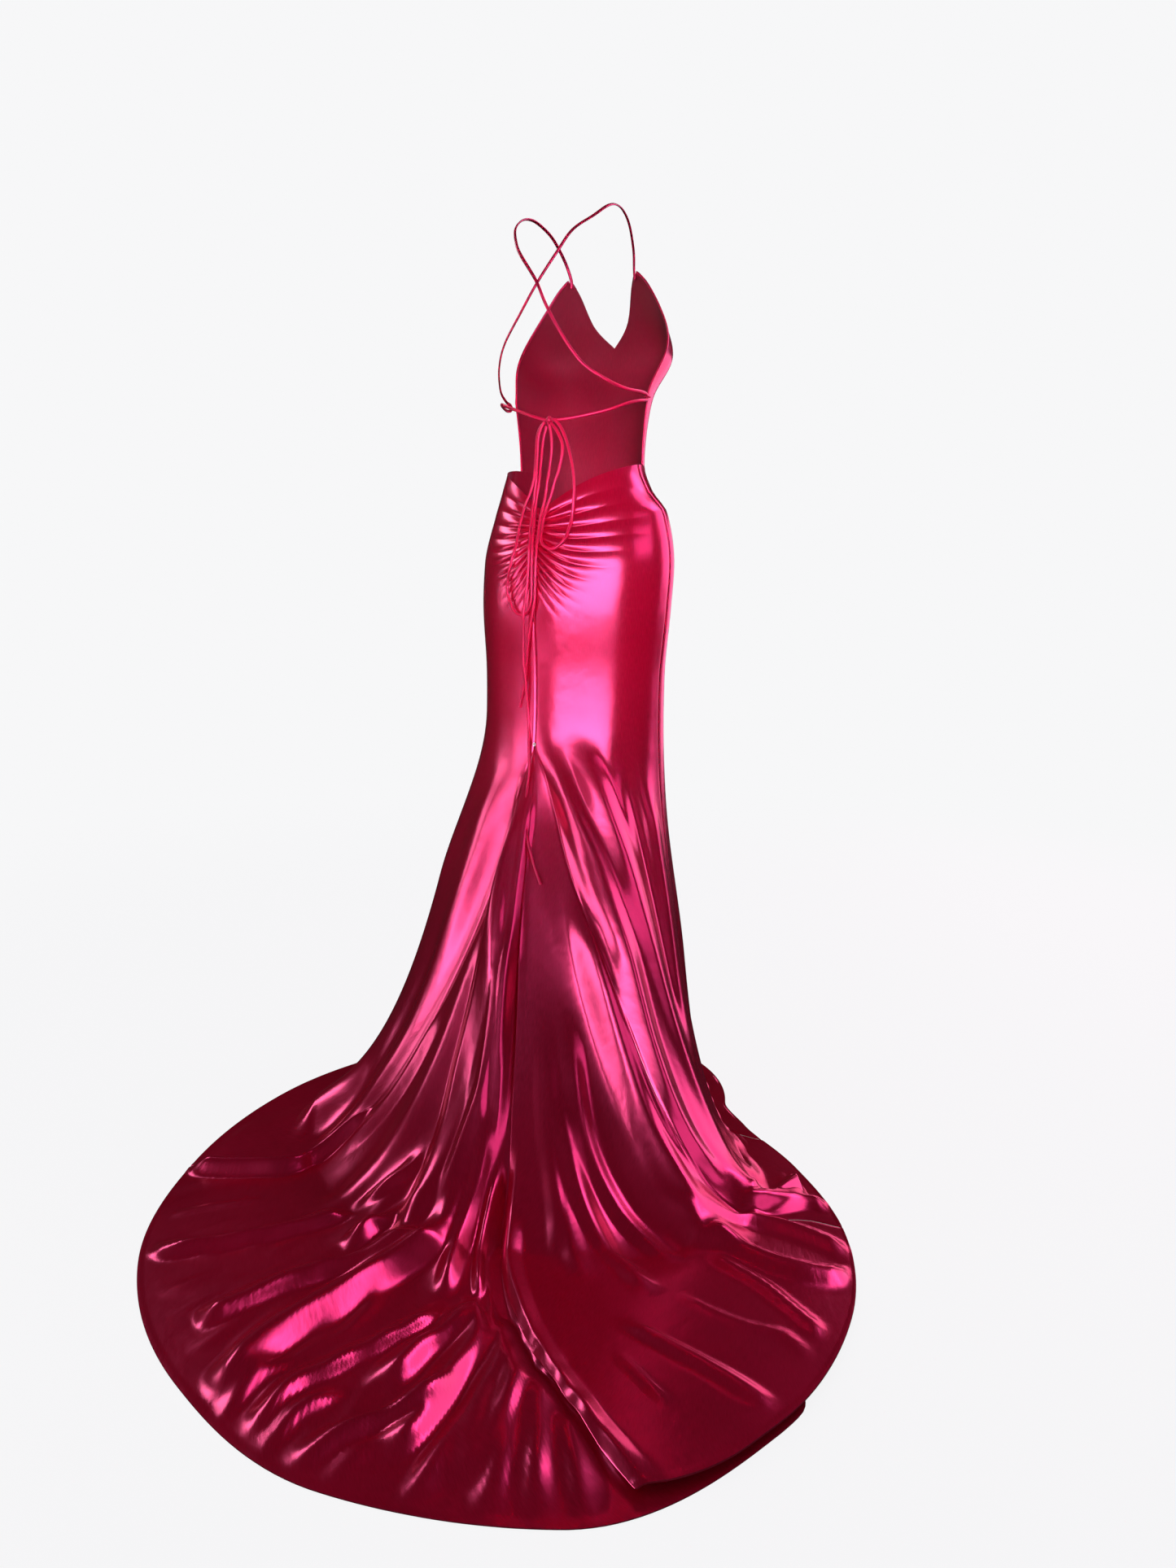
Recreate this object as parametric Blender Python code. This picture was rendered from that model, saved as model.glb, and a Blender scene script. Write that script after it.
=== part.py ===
# Backless halter gown with a godet train, standing as it is worn. Metres, +Z up.
# The origin is where the shoulder straps rest on top of the shoulders.
# The front faces -Y, so the open back and the train are on the +Y side, and the wearer's right is -X.
# Angles are degrees round the gown, 0 at the centre back and growing towards the wearer's right side.
# A run counts down the cloth: 0 top edge, 1 knee, 2 where the cloth meets the floor, 3 hem.
import math

import bmesh
import bpy
import numpy as np
from mathutils import Matrix, Vector


def table(names, *rows):
    """Name the columns of a short table."""
    return dict(zip(names.split(), np.array(rows, dtype=float).T))


# Driving sizes
SHOULDER = 1.505          # top of the shoulder straps above the floor
WAIST = 1.108             # waist seam above the floor
BACK_DIP = 1.034          # lowest point of the open back above the floor
KNEE = 0.70               # where the skirt starts to flare
SIDE_SEAM = 90.0          # angle of the side seams
TOP_EDGE_SIDE = 95.0      # angle where the open back reaches the waist seam
BODICE_SIDE = 100.0       # angle of the bodice's open side edges
GODET_TOP = 1.050         # run where the godet's two seams meet
CLOTH = 0.0015            # thickness of the cloth wall
SEAM_GAP = 0.0005         # clearance between pieces at a seam
BINDING_WIDTH = 0.0040
BINDING_THICKNESS = 0.0030
STRAP_WIDTH = 0.0055
STRAP_THICKNESS = 0.0030
TIE_DIAMETER = 0.0045
BEAD_RADIUS = 0.0030
KNOT_CENTRE = (-0.0105, 0.0935, 1.1730)   # above the floor
KNOT_RADII = (0.0070, 0.0050, 0.0055)
LOOP_CENTRE = (0.1303, -0.0112, 1.2125)   # side loop, mirrored to the other side
LOOP_RADIUS = 0.0048
LOOP_WIRE = 0.0009
NECK_CENTRE = 1.36        # height above which the straps turn over the shoulders
BACK_CURVE = 1.6          # power of the open back's curve
SATIN_COLOUR = (0.45, 0.0, 0.06)
BEAD_COLOUR = (0.80, 0.80, 0.82)
SHINE_ROUGHNESS = 0.35

# Sections of the body that the cloth follows, heights above the floor
BODY = table(
    "height left_width right_width back_depth front_depth",
    (0.70, 0.158, 0.158, 0.119, 0.116),
    (0.78, 0.160, 0.163, 0.122, 0.110),
    (0.88, 0.164, 0.174, 0.127, 0.107),
    (0.95, 0.160, 0.179, 0.124, 0.107),
    (1.03, 0.141, 0.166, 0.102, 0.104),
    (1.07, 0.128, 0.135, 0.092, 0.102),
    (1.11, 0.118, 0.120, 0.084, 0.102),
    (1.22, 0.128, 0.128, 0.091, 0.124),
    (1.29, 0.144, 0.144, 0.095, 0.132),
    (1.36, 0.147, 0.147, 0.095, 0.124),
    (1.44, 0.150, 0.150, 0.085, 0.100),
)

# How far the skirt reaches from the centre: where it meets the floor, and at the hem
SWEEP = table(
    "angle floor hem",
    (-180, 0.245, 0.300),
    (-150, 0.250, 0.310),
    (-120, 0.290, 0.345),
    (-90, 0.345, 0.400),
    (-60, 0.440, 0.530),
    (-37, 0.480, 0.663),
    (-18, 0.510, 0.802),
    (0, 0.535, 0.912),
    (15, 0.550, 0.985),
    (30, 0.550, 1.000),
    (45, 0.540, 0.900),
    (58, 0.500, 0.760),
    (70, 0.430, 0.610),
    (82, 0.340, 0.450),
    (95, 0.275, 0.325),
    (112, 0.245, 0.272),
    (145, 0.240, 0.275),
    (180, 0.245, 0.300),
)

# Control points of the curve that the cloth falls along from the knee to the floor:
# share of the way out, and share of the knee's height
FALL = table(
    "out height",
    (0.00, 1.00),
    (0.10, 0.62),
    (0.50, 0.06),
    (1.00, 0.00),
)

# The godet's seams, and the deep pleat in it: its cloth runs under to one angle and comes back to another
GODET = table(
    "run left_seam under_turn pleat_edge right_seam",
    (1.050, 0.0, 0.0, 0.0, 0.0),
    (1.058, -0.4, 0.1, 0.15, 0.6),
    (1.10, -5.0, 2.0, 2.4, 9.5),
    (1.16, -9.0, 4.2, 4.4, 17.0),
    (1.25, -13.0, 6.9, 6.8, 26.0),
    (1.38, -20.0, 10.6, 9.6, 37.0),
    (1.53, -27.0, 15.5, 13.0, 44.5),
    (1.70, -30.0, 20.0, 16.0, 50.0),
    (1.86, -31.0, 24.0, 18.5, 55.0),
    (2.00, -32.0, 28.0, 20.0, 60.0),
    (2.40, -34.0, 38.0, 26.0, 66.5),
    (2.64, -35.0, 44.0, 30.0, 69.0),
    (3.00, -36.0, 50.0, 35.0, 71.0),
)
# Share of the godet's width where the cloth turns, and how far its layers lie apart
PLEAT = table(
    "share level",
    (0.00, 0.0),
    (0.52, 0.0),
    (0.60, 0.5),
    (0.64, 1.0),
    (0.68, 1.6),
    (0.74, 2.1),
    (0.85, 1.7),
    (0.94, 0.4),
    (1.00, 0.0),
)
UNDER_TURN_SHARE = 0.60
PLEAT_EDGE_SHARE = 0.68
PLEAT_LAYER_KNEE = 0.0035   # distance between the pleat's layers near the knee
PLEAT_LAYER_HEM = 0.0080    # and on the train
PLEAT_OPENS = 1.3           # run where they start to part

# Folds of the flared skirt and train: the angle of the crest at four runs, where it starts and ends
FOLD_RUNS = (1.2, 1.7, 2.2, 2.95)
FOLDS = table(
    "knee low floor hem start end lift half_width",
    (-66, -57, -48, -41, 1.00, 3.10, 0.036, 0.060),
    (-34, -42, -28, -24, 1.30, 2.30, -0.010, 0.050),
    (-34, -38, -30, -26, 1.10, 2.20, 0.014, 0.028),
    (-12, -12, -12, -19, 1.20, 3.20, 0.012, 0.030),
    (-9, -6, -3, -11, 1.70, 3.20, 0.018, 0.032),
    (-4, 5, 3, -3, 1.08, 3.10, 0.024, 0.030),
    (-1, 10, 8, 4, 1.10, 3.20, 0.022, 0.026),
    (4, 8, 14, 9, 1.80, 3.30, 0.026, 0.032),
    (6, 12, 19, 16, 1.95, 3.30, 0.022, 0.030),
    (22, 27, 34, 38, 1.10, 2.30, 0.012, 0.045),
    (30, 49, 55, 60, 1.10, 2.90, 0.030, 0.038),
    (20, 34, 43, 46, 1.15, 2.20, -0.012, 0.050),
    (44, 57, 68, 80, 1.08, 2.80, 0.026, 0.030),
    (60, 66, 76, 84, 1.10, 2.40, 0.016, 0.026),
    (84, 82, 88, 92, 1.12, 2.60, 0.012, 0.030),
    (110, 108, 106, 104, 1.15, 3.20, 0.014, 0.030),
    (132, 133, 134, 134, 1.20, 3.30, 0.018, 0.030),
    (158, 157, 156, 156, 1.15, 3.30, 0.016, 0.032),
    (-178, -178, -177, -177, 1.20, 3.30, 0.018, 0.030),
    (-153, -153, -154, -154, 1.15, 3.30, 0.016, 0.032),
    (-128, -127, -126, -126, 1.20, 3.30, 0.018, 0.034),
    (-100, -98, -96, -94, 1.15, 3.20, 0.018, 0.036),
)
FOLD_FADE = 0.35          # run over which a fold rises and dies away
LIFT_TILT = 1.05          # run over which the folds turn from standing out to standing up

# Valleys of the ruching: where each leaves the centre back seam and meets the side seam, as runs,
# how high the cloth puffs below it, and how far it reaches from the seam on the left and the right
RUCHES = table(
    "seam side puff left_reach right_reach",
    (0.000, 0.000, 0.0022, 0.060, 0.070),
    (0.040, 0.070, 0.0026, 0.075, 0.085),
    (0.064, 0.135, 0.0030, 0.080, 0.095),
    (0.088, 0.200, 0.0032, 0.080, 0.100),
    (0.112, 0.262, 0.0032, 0.085, 0.100),
    (0.138, 0.325, 0.0032, 0.080, 0.095),
    (0.164, 0.390, 0.0032, 0.075, 0.085),
    (0.190, 0.455, 0.0032, 0.065, 0.070),
    (0.218, 0.520, 0.0032, 0.055, 0.060),
    (0.250, 0.585, 0.0030, 0.045, 0.050),
    (0.290, 0.650, 0.0026, 0.035, 0.040),
    (0.350, 0.715, 0.0016, 0.028, 0.030),
    (0.440, 0.780, 0.0000, 0.028, 0.030),
)
RUCHE_EASE = 0.055        # distance over which the valleys fan out from the seam
RUCHE_START = 0.006       # distance over which they leave it square
RUCHE_LEVEL = 0.3         # run at which distances round the hips are taken

# The bodice's top edge from its open side to the strap and on to the middle of the neckline
BODICE_EDGE = table(
    "angle height",
    (100, 1.222),
    (108, 1.272),
    (118, 1.325),
    (130, 1.378),
    (140, 1.413),
    (147, 1.425),
    (154, 1.407),
    (166, 1.352),
    (180, 1.318),
)
STRAP_ANGLE = 147.0

# Soft cup shaping: angle from the centre front, height, angular spread, vertical spread and depth
CUPS = table(
    "angle height wide tall depth",
    (42, 1.290, 26, 0.055, 0.030),
    (0, 1.285, 20, 0.050, 0.010),
)

# Routes of the straps and ties, heights above the floor. The left strap starts at the left strap end
# of the bodice, lies over the right one where they cross, turns in the right side loop and ends at the knot.
LEFT_STRAP = table(
    "x y z",
    (0.0605, -0.0930, 1.4290),
    (0.0660, -0.0820, 1.4560),
    (0.0720, -0.0560, 1.4850),
    (0.0765, -0.0280, 1.4990),
    (0.0785, 0.0000, 1.5035),
    (0.0790, 0.0280, 1.4970),
    (0.0745, 0.0560, 1.4770),
    (0.0600, 0.0770, 1.4500),
    (0.0430, 0.0900, 1.4260),
    (0.0080, 0.1012, 1.3820),
    (-0.0098, 0.1005, 1.3445),
    (-0.0346, 0.0960, 1.3005),
    (-0.0651, 0.0855, 1.2570),
    (-0.0970, 0.0645, 1.2320),
    (-0.1180, 0.0385, 1.2200),
    (-0.1275, 0.0080, 1.2188),
    (-0.1300, -0.0072, 1.2172),
    (-0.1303, -0.0116, 1.2125),
    (-0.1300, -0.0074, 1.2078),
    (-0.1270, 0.0090, 1.2050),
    (-0.1180, 0.0330, 1.1990),
    (-0.1000, 0.0560, 1.1885),
    (-0.0677, 0.0770, 1.1790),
    (-0.0400, 0.0870, 1.1745),
    (-0.0178, 0.0925, 1.1732),
)
RIGHT_STRAP = table(
    "x y z",
    (-0.0605, -0.0930, 1.4290),
    (-0.0660, -0.0820, 1.4560),
    (-0.0730, -0.0560, 1.4850),
    (-0.0785, -0.0280, 1.4990),
    (-0.0810, 0.0000, 1.5035),
    (-0.0800, 0.0280, 1.4970),
    (-0.0690, 0.0560, 1.4770),
    (-0.0460, 0.0800, 1.4540),
    (-0.0250, 0.0910, 1.4230),
    (0.0085, 0.0968, 1.3800),
    (0.0413, 0.0945, 1.3390),
    (0.0815, 0.0805, 1.2980),
    (0.1050, 0.0625, 1.2650),
    (0.1220, 0.0340, 1.2350),
    (0.1275, 0.0100, 1.2210),
    (0.1300, -0.0072, 1.2172),
    (0.1303, -0.0116, 1.2125),
    (0.1300, -0.0074, 1.2078),
    (0.1275, 0.0090, 1.2062),
    (0.1180, 0.0370, 1.2100),
    (0.1023, 0.0590, 1.2080),
    (0.0808, 0.0730, 1.2010),
    (0.0309, 0.0895, 1.1840),
    (0.0080, 0.0915, 1.1765),
    (-0.0030, 0.0915, 1.1740),
)
LEFT_TIE_LOOP = table(
    "x y z",
    (-0.0045, 0.0972, 1.1700),
    (0.0052, 0.0970, 1.1610),
    (0.0100, 0.0980, 1.1460),
    (0.0112, 0.1005, 1.1140),
    (0.0130, 0.1035, 1.0830),
    (0.0195, 0.1065, 1.0580),
    (0.0270, 0.1090, 1.0400),
    (0.0326, 0.1165, 1.0090),
    (0.0356, 0.1250, 0.9754),
    (0.0390, 0.1275, 0.9640),
    (0.0449, 0.1285, 0.9418),
    (0.0500, 0.1265, 0.9248),
    (0.0516, 0.1260, 0.9080),
    (0.0468, 0.1275, 0.8923),
    (0.0357, 0.1295, 0.8745),
    (0.0247, 0.1310, 0.8692),
    (0.0150, 0.1318, 0.8705),
    (0.0066, 0.1325, 0.8765),
    (0.0015, 0.1332, 0.8880),
    (0.0000, 0.1335, 0.9000),
    (0.0000, 0.1330, 0.9250),
    (0.0005, 0.1315, 0.9500),
    (0.0010, 0.1290, 0.9747),
    (0.0040, 0.1190, 1.0079),
    (0.0056, 0.1110, 1.0377),
    (0.0015, 0.1060, 1.0800),
    (0.0000, 0.1015, 1.1130),
    (-0.0020, 0.0985, 1.1420),
    (-0.0070, 0.0970, 1.1630),
)
LONG_TIE_END = table(
    "x y z",
    (-0.0060, 0.1019, 1.1690),
    (0.0000, 0.1029, 1.1590),
    (0.0043, 0.1032, 1.1450),
    (0.0060, 0.1048, 1.1140),
    (0.0068, 0.1070, 1.0810),
    (0.0108, 0.1100, 1.0400),
    (0.0098, 0.1185, 1.0085),
    (0.0072, 0.1285, 0.9752),
    (0.0068, 0.1300, 0.9656),
    (0.0085, 0.1315, 0.9251),
    (0.0112, 0.1330, 0.9005),
    (0.0135, 0.1372, 0.8710),
    (0.0155, 0.1345, 0.8450),
    (0.0178, 0.1315, 0.7950),
    (0.0165, 0.1300, 0.7750),
    (0.0140, 0.1243, 0.7016),
    (0.0082, 0.1328, 0.6557),
    (0.0030, 0.1405, 0.6222),
    (0.0013, 0.1485, 0.5942),
    (-0.0030, 0.1610, 0.5619),
    (-0.0097, 0.1715, 0.5355),
    (-0.0213, 0.1828, 0.5092),
    (-0.0366, 0.1910, 0.4779),
    (-0.0542, 0.1985, 0.4465),
)
SHORT_TIE_END = table(
    "x y z",
    (-0.0125, 0.1000, 1.1680),
    (-0.0165, 0.1000, 1.1550),
    (-0.0187, 0.1005, 1.1290),
    (-0.0162, 0.1025, 1.1010),
    (-0.0135, 0.1050, 1.0800),
    (-0.0110, 0.1075, 1.0560),
    (-0.0080, 0.1105, 1.0370),
    (-0.0058, 0.1150, 1.0200),
    (-0.0060, 0.1195, 1.0040),
    (-0.0066, 0.1240, 0.9910),
    (-0.0066, 0.1285, 0.9750),
    (-0.0075, 0.1320, 0.9530),
    (-0.0066, 0.1325, 0.9250),
    (-0.0055, 0.1325, 0.9000),
    (-0.0035, 0.1322, 0.8850),
    (0.0015, 0.1315, 0.8634),
    (0.0068, 0.1302, 0.8402),
    (0.0146, 0.1267, 0.7966),
    (0.0193, 0.1250, 0.7655),
    (0.0257, 0.1234, 0.7400),
    (0.0320, 0.1218, 0.7176),
)
RIGHT_TIE_LOOP = table(
    "x y z",
    (-0.0162, 0.0968, 1.1678),
    (-0.0225, 0.0970, 1.1605),
    (-0.0302, 0.0980, 1.1500),
    (-0.0372, 0.0990, 1.1350),
    (-0.0379, 0.1005, 1.1187),
    (-0.0325, 0.1030, 1.0934),
    (-0.0277, 0.1050, 1.0796),
    (-0.0214, 0.1075, 1.0559),
    (-0.0155, 0.1100, 1.0400),
    (-0.0125, 0.1150, 1.0234),
    (-0.0120, 0.1190, 1.0080),
    (-0.0122, 0.1245, 0.9900),
    (-0.0178, 0.1270, 0.9795),
    (-0.0273, 0.1275, 0.9735),
    (-0.0358, 0.1262, 0.9728),
    (-0.0440, 0.1232, 0.9775),
    (-0.0513, 0.1190, 0.9855),
    (-0.0555, 0.1135, 0.9980),
    (-0.0585, 0.1060, 1.0189),
    (-0.0610, 0.1040, 1.0460),
    (-0.0608, 0.1022, 1.0738),
    (-0.0551, 0.1000, 1.1063),
    (-0.0450, 0.0980, 1.1390),
    (-0.0335, 0.0970, 1.1610),
    (-0.0245, 0.0970, 1.1705),
    (-0.0178, 0.0970, 1.1740),
)

# How finely the pieces are meshed
ANGLE_STEP = 0.05         # degrees, for slopes
SHARE_STEP = 0.0005
RUN_STEP = 0.001
RUCHE_STEPS = 3           # courses in one ruche
HIP_ROWS = 4
GODET_RUNS = np.concatenate((
    np.linspace(1.058, 1.8, 8), np.linspace(1.8, 2.1, 6)[1:], np.linspace(2.1, 3, 7)[1:]))
BACK_COLUMNS = np.array((0, 0.04, 0.10, 0.18, 0.27, 0.37, 0.48, 0.60, 0.73, 0.86, 1.0))
FRONT_HIP_ROWS = 7
FRONT_COLUMNS = 16
GODET_LEFT_COLUMNS = 26
PLEAT_COLUMNS = 4
GODET_RIGHT_COLUMNS = 15
BODICE_SIDE_COLUMNS = 8
BODICE_NECK_COLUMNS = 6
BODICE_ROWS = 10
BAND_SIDES = 6
STRAP_SPACING = 0.014
STRAP_TURN = 25.0         # most degrees that a strap turns between its rings
TIE_SPACING = 0.0125
CURVE_STEP = 0.05         # share of the way between two points of a route
STRAP_FINE = 0.0012       # spacing of the line that a strap's rings are picked from
ROUND_SEGMENTS = 12
ROUND_RINGS = 8
SHARP_ANGLE = 50.0        # faces meeting more sharply keep a crisp edge


def smooth_table(at, stations, values):
    """Read a table between its rows with a curve that never overshoots them."""
    at = np.asarray(at, dtype=float)
    stations, values = np.asarray(stations, dtype=float), np.asarray(values, dtype=float)
    if values.ndim == 1:
        values = values.reshape((-1,) + (1,) * at.ndim)
    values = np.broadcast_to(values, (len(stations),) + at.shape)
    step = np.diff(stations)
    wide = step.reshape((-1,) + (1,) * at.ndim)
    slope = np.diff(values, axis=0) / wide
    near, far = 2 * wide[1:] + wide[:-1], wide[1:] + 2 * wide[:-1]
    turning = slope[:-1] * slope[1:] <= 0
    above = np.where(turning, 1.0, slope[:-1])
    below = np.where(turning, 1.0, slope[1:])
    inner = np.where(turning, 0.0, (near + far) / (near / above + far / below))
    tangent = np.concatenate((slope[:1], inner, slope[-1:]))
    row = np.clip(np.searchsorted(stations, at, side="right") - 1, 0, len(step) - 1)
    part = np.clip((at - stations[row]) / step[row], 0.0, 1.0)
    rise = part * part * (3 - 2 * part)

    def pick(columns, index):
        return np.take_along_axis(columns, index[None], axis=0)[0]

    return (
        pick(values, row) * (1 - rise)
        + pick(values, row + 1) * rise
        + pick(tangent, row) * step[row] * part * (1 - part) ** 2
        - pick(tangent, row + 1) * step[row] * part * part * (1 - part)
    )


def body_radius(angle, height):
    """Distance from the centre line to the body at an angle and height."""
    left, right, back, front = (
        smooth_table(height, BODY["height"], BODY[name])
        for name in ("left_width", "right_width", "back_depth", "front_depth")
    )
    turn = np.radians(angle)
    width = np.where(np.sin(turn) > 0, right, left)
    depth = np.where(np.cos(turn) > 0, back, front)
    return 1 / np.sqrt((np.sin(turn) / width) ** 2 + (np.cos(turn) / depth) ** 2)


def sweep_radius(angle, name):
    """Distance from the centre line to the floor contact or the hem."""
    turn = (np.asarray(angle, dtype=float) + 180) % 360 - 180
    angles = np.concatenate((SWEEP["angle"][:-1] - 360, SWEEP["angle"], SWEEP["angle"][1:] + 360))
    reach = np.concatenate((SWEEP[name][:-1], SWEEP[name], SWEEP[name][1:]))
    return smooth_table(turn, angles, reach)


def top_edge(angle):
    """Height of the skirt's top edge: a curved V across the back, level at the sides and front."""
    turn = (np.asarray(angle, dtype=float) + 180) % 360 - 180
    off_side = 1 - np.clip(np.abs(turn) / TOP_EDGE_SIDE, 0, 1)
    return WAIST - (WAIST - BACK_DIP) * off_side ** BACK_CURVE


def plain_skirt(angle, run):
    """The skirt without its folds, as points."""
    angle, run = np.broadcast_arrays(np.asarray(angle, dtype=float), np.asarray(run, dtype=float))
    top = top_edge(angle)
    height = top + (KNEE - top) * np.clip(run, 0, 1)
    knee, floor, hem = body_radius(angle, KNEE), sweep_radius(angle, "floor"), sweep_radius(angle, "hem")
    fall = np.clip(run - 1, 0, 1)
    rest = 1 - fall
    weights = rest ** 3, 3 * fall * rest ** 2, 3 * fall ** 2 * rest, fall ** 3
    out = sum(weight * share for weight, share in zip(weights, FALL["out"]))
    flare_radius = knee + out * (floor - knee)
    flare_height = KNEE * sum(weight * share for weight, share in zip(weights, FALL["height"]))
    train_radius = floor + (hem - floor) * np.clip(run - 2, 0, 1)
    radius = np.select([run <= 1, run <= 2], [body_radius(angle, height), flare_radius], train_radius)
    level = np.select([run <= 1, run <= 2], [height, flare_height], 0.0)
    turn = np.radians(angle)
    return np.stack((-np.sin(turn) * radius, np.cos(turn) * radius, level), axis=-1)


def unit(vectors):
    """Scale vectors to a length of one."""
    return vectors / np.maximum(np.linalg.norm(vectors, axis=-1, keepdims=True), 1e-12)


def surface_normal(surface, across, down, across_step):
    """Outward normal of a surface given as a function of two coordinates."""
    along = surface(across + across_step, down) - surface(across - across_step, down)
    fall = surface(across, down + RUN_STEP) - surface(across, down - RUN_STEP)
    return unit(np.cross(fall, along))


def smooth_step(value):
    """Ease from 0 to 1."""
    value = np.clip(value, 0, 1)
    return value * value * (3 - 2 * value)


def fold_lift(angle, run):
    """Height of the skirt's and the train's folds above the plain cloth."""
    lift = np.zeros(np.broadcast(angle, run).shape)
    radius = np.linalg.norm(plain_skirt(angle, run)[..., :2], axis=-1)
    for fold in zip(*FOLDS.values()):
        crest = smooth_table(run, np.array(FOLD_RUNS), np.array(fold[:4]))
        start, end, height, half_width = fold[4:]
        apart = (angle - crest + 180) % 360 - 180
        across = np.radians(apart) * radius / half_width
        strength = smooth_step((run - start) / FOLD_FADE) * smooth_step((end - run) / FOLD_FADE)
        lift = lift + height * strength * np.exp(-across ** 2)
    return lift


def side_arc(angle, run):
    """Distance round the skirt from the centre back seam."""
    radius = np.linalg.norm(plain_skirt(angle, run)[..., :2], axis=-1)
    return np.radians(np.abs(angle)) * radius


def ruche_spread(arc):
    """How far the valleys have fanned out, starting square to the centre back seam."""
    return 1 - np.exp(-arc * arc / (arc + RUCHE_START) / RUCHE_EASE)


def ruche_run(valley, angle):
    """Run of a ruche's valley line at an angle; valleys are counted from the top edge."""
    count = np.arange(len(RUCHES["seam"]))
    seam = smooth_table(valley, count, RUCHES["seam"])
    side = smooth_table(valley, count, RUCHES["side"])
    full = ruche_spread(side_arc(SIDE_SEAM, RUCHE_LEVEL))
    return seam + (side - seam) * ruche_spread(side_arc(angle, RUCHE_LEVEL)) / full


def ruche_puff(valley, angle):
    """Height of the ruching above the plain cloth."""
    count = np.arange(len(RUCHES["seam"]))
    puff, left, right = (
        smooth_table(valley, count, RUCHES[name]) for name in ("puff", "left_reach", "right_reach")
    )
    arc = side_arc(angle, RUCHE_LEVEL)
    reach = np.where(angle < 0, left, right)
    fade = np.exp(-((arc / reach) ** 2)) * smooth_step(2 - 2 * np.abs(angle) / SIDE_SEAM)
    return puff * np.abs(np.sin(math.pi * valley)) * fade


def lift_direction(angle, run):
    """Way that folds stand out: straight out of the body above, straight up on the floor."""
    turn, tilt = np.radians(angle), smooth_step((run - 1) / LIFT_TILT) * math.pi / 2
    return np.stack((-np.sin(turn) * np.cos(tilt), np.cos(turn) * np.cos(tilt), np.sin(tilt)), axis=-1)


def skirt_surface(angle, run, extra_lift=0.0):
    """The folded skirt's middle surface, kept on or above the floor."""
    plain = plain_skirt(angle, run)
    outward = lift_direction(angle, run)
    lift = fold_lift(angle, run) + extra_lift
    points = plain + outward * lift[..., None]
    points[..., 2] = np.maximum(points[..., 2], CLOTH / 2)
    return points


def back_run(angle, course):
    """Run of a course of the back: ruches first, then the hips, then the flare and the train."""
    last = len(RUCHES["seam"]) - 1
    run = ruche_run(np.clip(course, 0, last), angle)
    run = run + (1 - run) * np.clip(course - last, 0, 1)
    return run + np.clip(course - last - 1, 0, 2)


def back_surface(angle, course):
    """The back of the skirt from the open back's edge to the hem."""
    last = len(RUCHES["seam"]) - 1
    puff = ruche_puff(np.clip(course, 0, last), angle)
    return skirt_surface(angle, back_run(angle, course), puff)


def godet_surface(share, run):
    """The godet by share of its width, with the pleat's lower and upper layers."""
    share, run = np.broadcast_arrays(np.asarray(share, dtype=float), np.asarray(run, dtype=float))
    knots = (0.0, UNDER_TURN_SHARE, PLEAT_EDGE_SHARE, 1.0)
    seams = np.array([smooth_table(run, GODET["run"], GODET[name])
                      for name in ("left_seam", "under_turn", "pleat_edge", "right_seam")])
    gap = gap_angle(seams[0], run)
    seams[0] += gap
    seams[3] -= gap
    angle = smooth_table(share, knots, seams)
    level = smooth_table(share, PLEAT["share"], PLEAT["level"])
    layer = PLEAT_LAYER_KNEE + (PLEAT_LAYER_HEM - PLEAT_LAYER_KNEE) * smooth_step(run - PLEAT_OPENS)
    opening = smooth_step((run - GODET_TOP) / FOLD_FADE)
    return skirt_surface(angle, run, level * layer * opening)


def bodice_top(angle):
    """Height of the bodice's top edge: up the armhole to the strap, then down to the neckline."""
    from_front = 180 - np.abs(180 - np.asarray(angle, dtype=float))
    return smooth_table(from_front, BODICE_EDGE["angle"], BODICE_EDGE["height"])


def bodice_surface(angle, down):
    """The bodice front by angle and share of the way down from its top edge to the waist."""
    angle, down = np.broadcast_arrays(np.asarray(angle, dtype=float), np.asarray(down, dtype=float))
    top = bodice_top(angle)
    height = top + (WAIST + SEAM_GAP - top) * down
    radius = body_radius(angle, height)
    from_front = np.abs(180 - angle)
    for cup in zip(*CUPS.values()):
        turn, level, wide, tall, depth = cup
        radius = radius + depth * np.exp(-((from_front - turn) / wide) ** 2 - ((height - level) / tall) ** 2)
    turn = np.radians(angle)
    return np.stack((-np.sin(turn) * radius, np.cos(turn) * radius, height), axis=-1)


def gap_angle(angle, run):
    """Half of a seam's clearance as an angle."""
    radius = np.linalg.norm(plain_skirt(angle, run)[..., :2], axis=-1)
    return np.degrees(SEAM_GAP / 2 / radius)


def fabric(name, colour):
    """A satin finish."""
    material = bpy.data.materials.new(name)
    material.use_nodes = True
    finish = material.node_tree.nodes["Principled BSDF"]
    finish.inputs["Base Color"].default_value = (*colour, 1)
    finish.inputs["Roughness"].default_value = SHINE_ROUGHNESS
    finish.inputs["Metallic"].default_value = 0.0
    return material


def finish_object(name, mesh, colour=SATIN_COLOUR):
    """Turn a bmesh into a named object with its own material."""
    bmesh.ops.translate(mesh, verts=mesh.verts, vec=(0, 0, -SHOULDER))
    bmesh.ops.recalc_face_normals(mesh, faces=mesh.faces)
    data = bpy.data.meshes.new(name)
    mesh.to_mesh(data)
    mesh.free()
    data.shade_smooth()
    data.set_sharp_from_angle(angle=math.radians(SHARP_ANGLE))
    data.materials.append(fabric(name + "_finish", colour))
    thing = bpy.data.objects.new(name, data)
    bpy.context.collection.objects.link(thing)
    return thing


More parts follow.
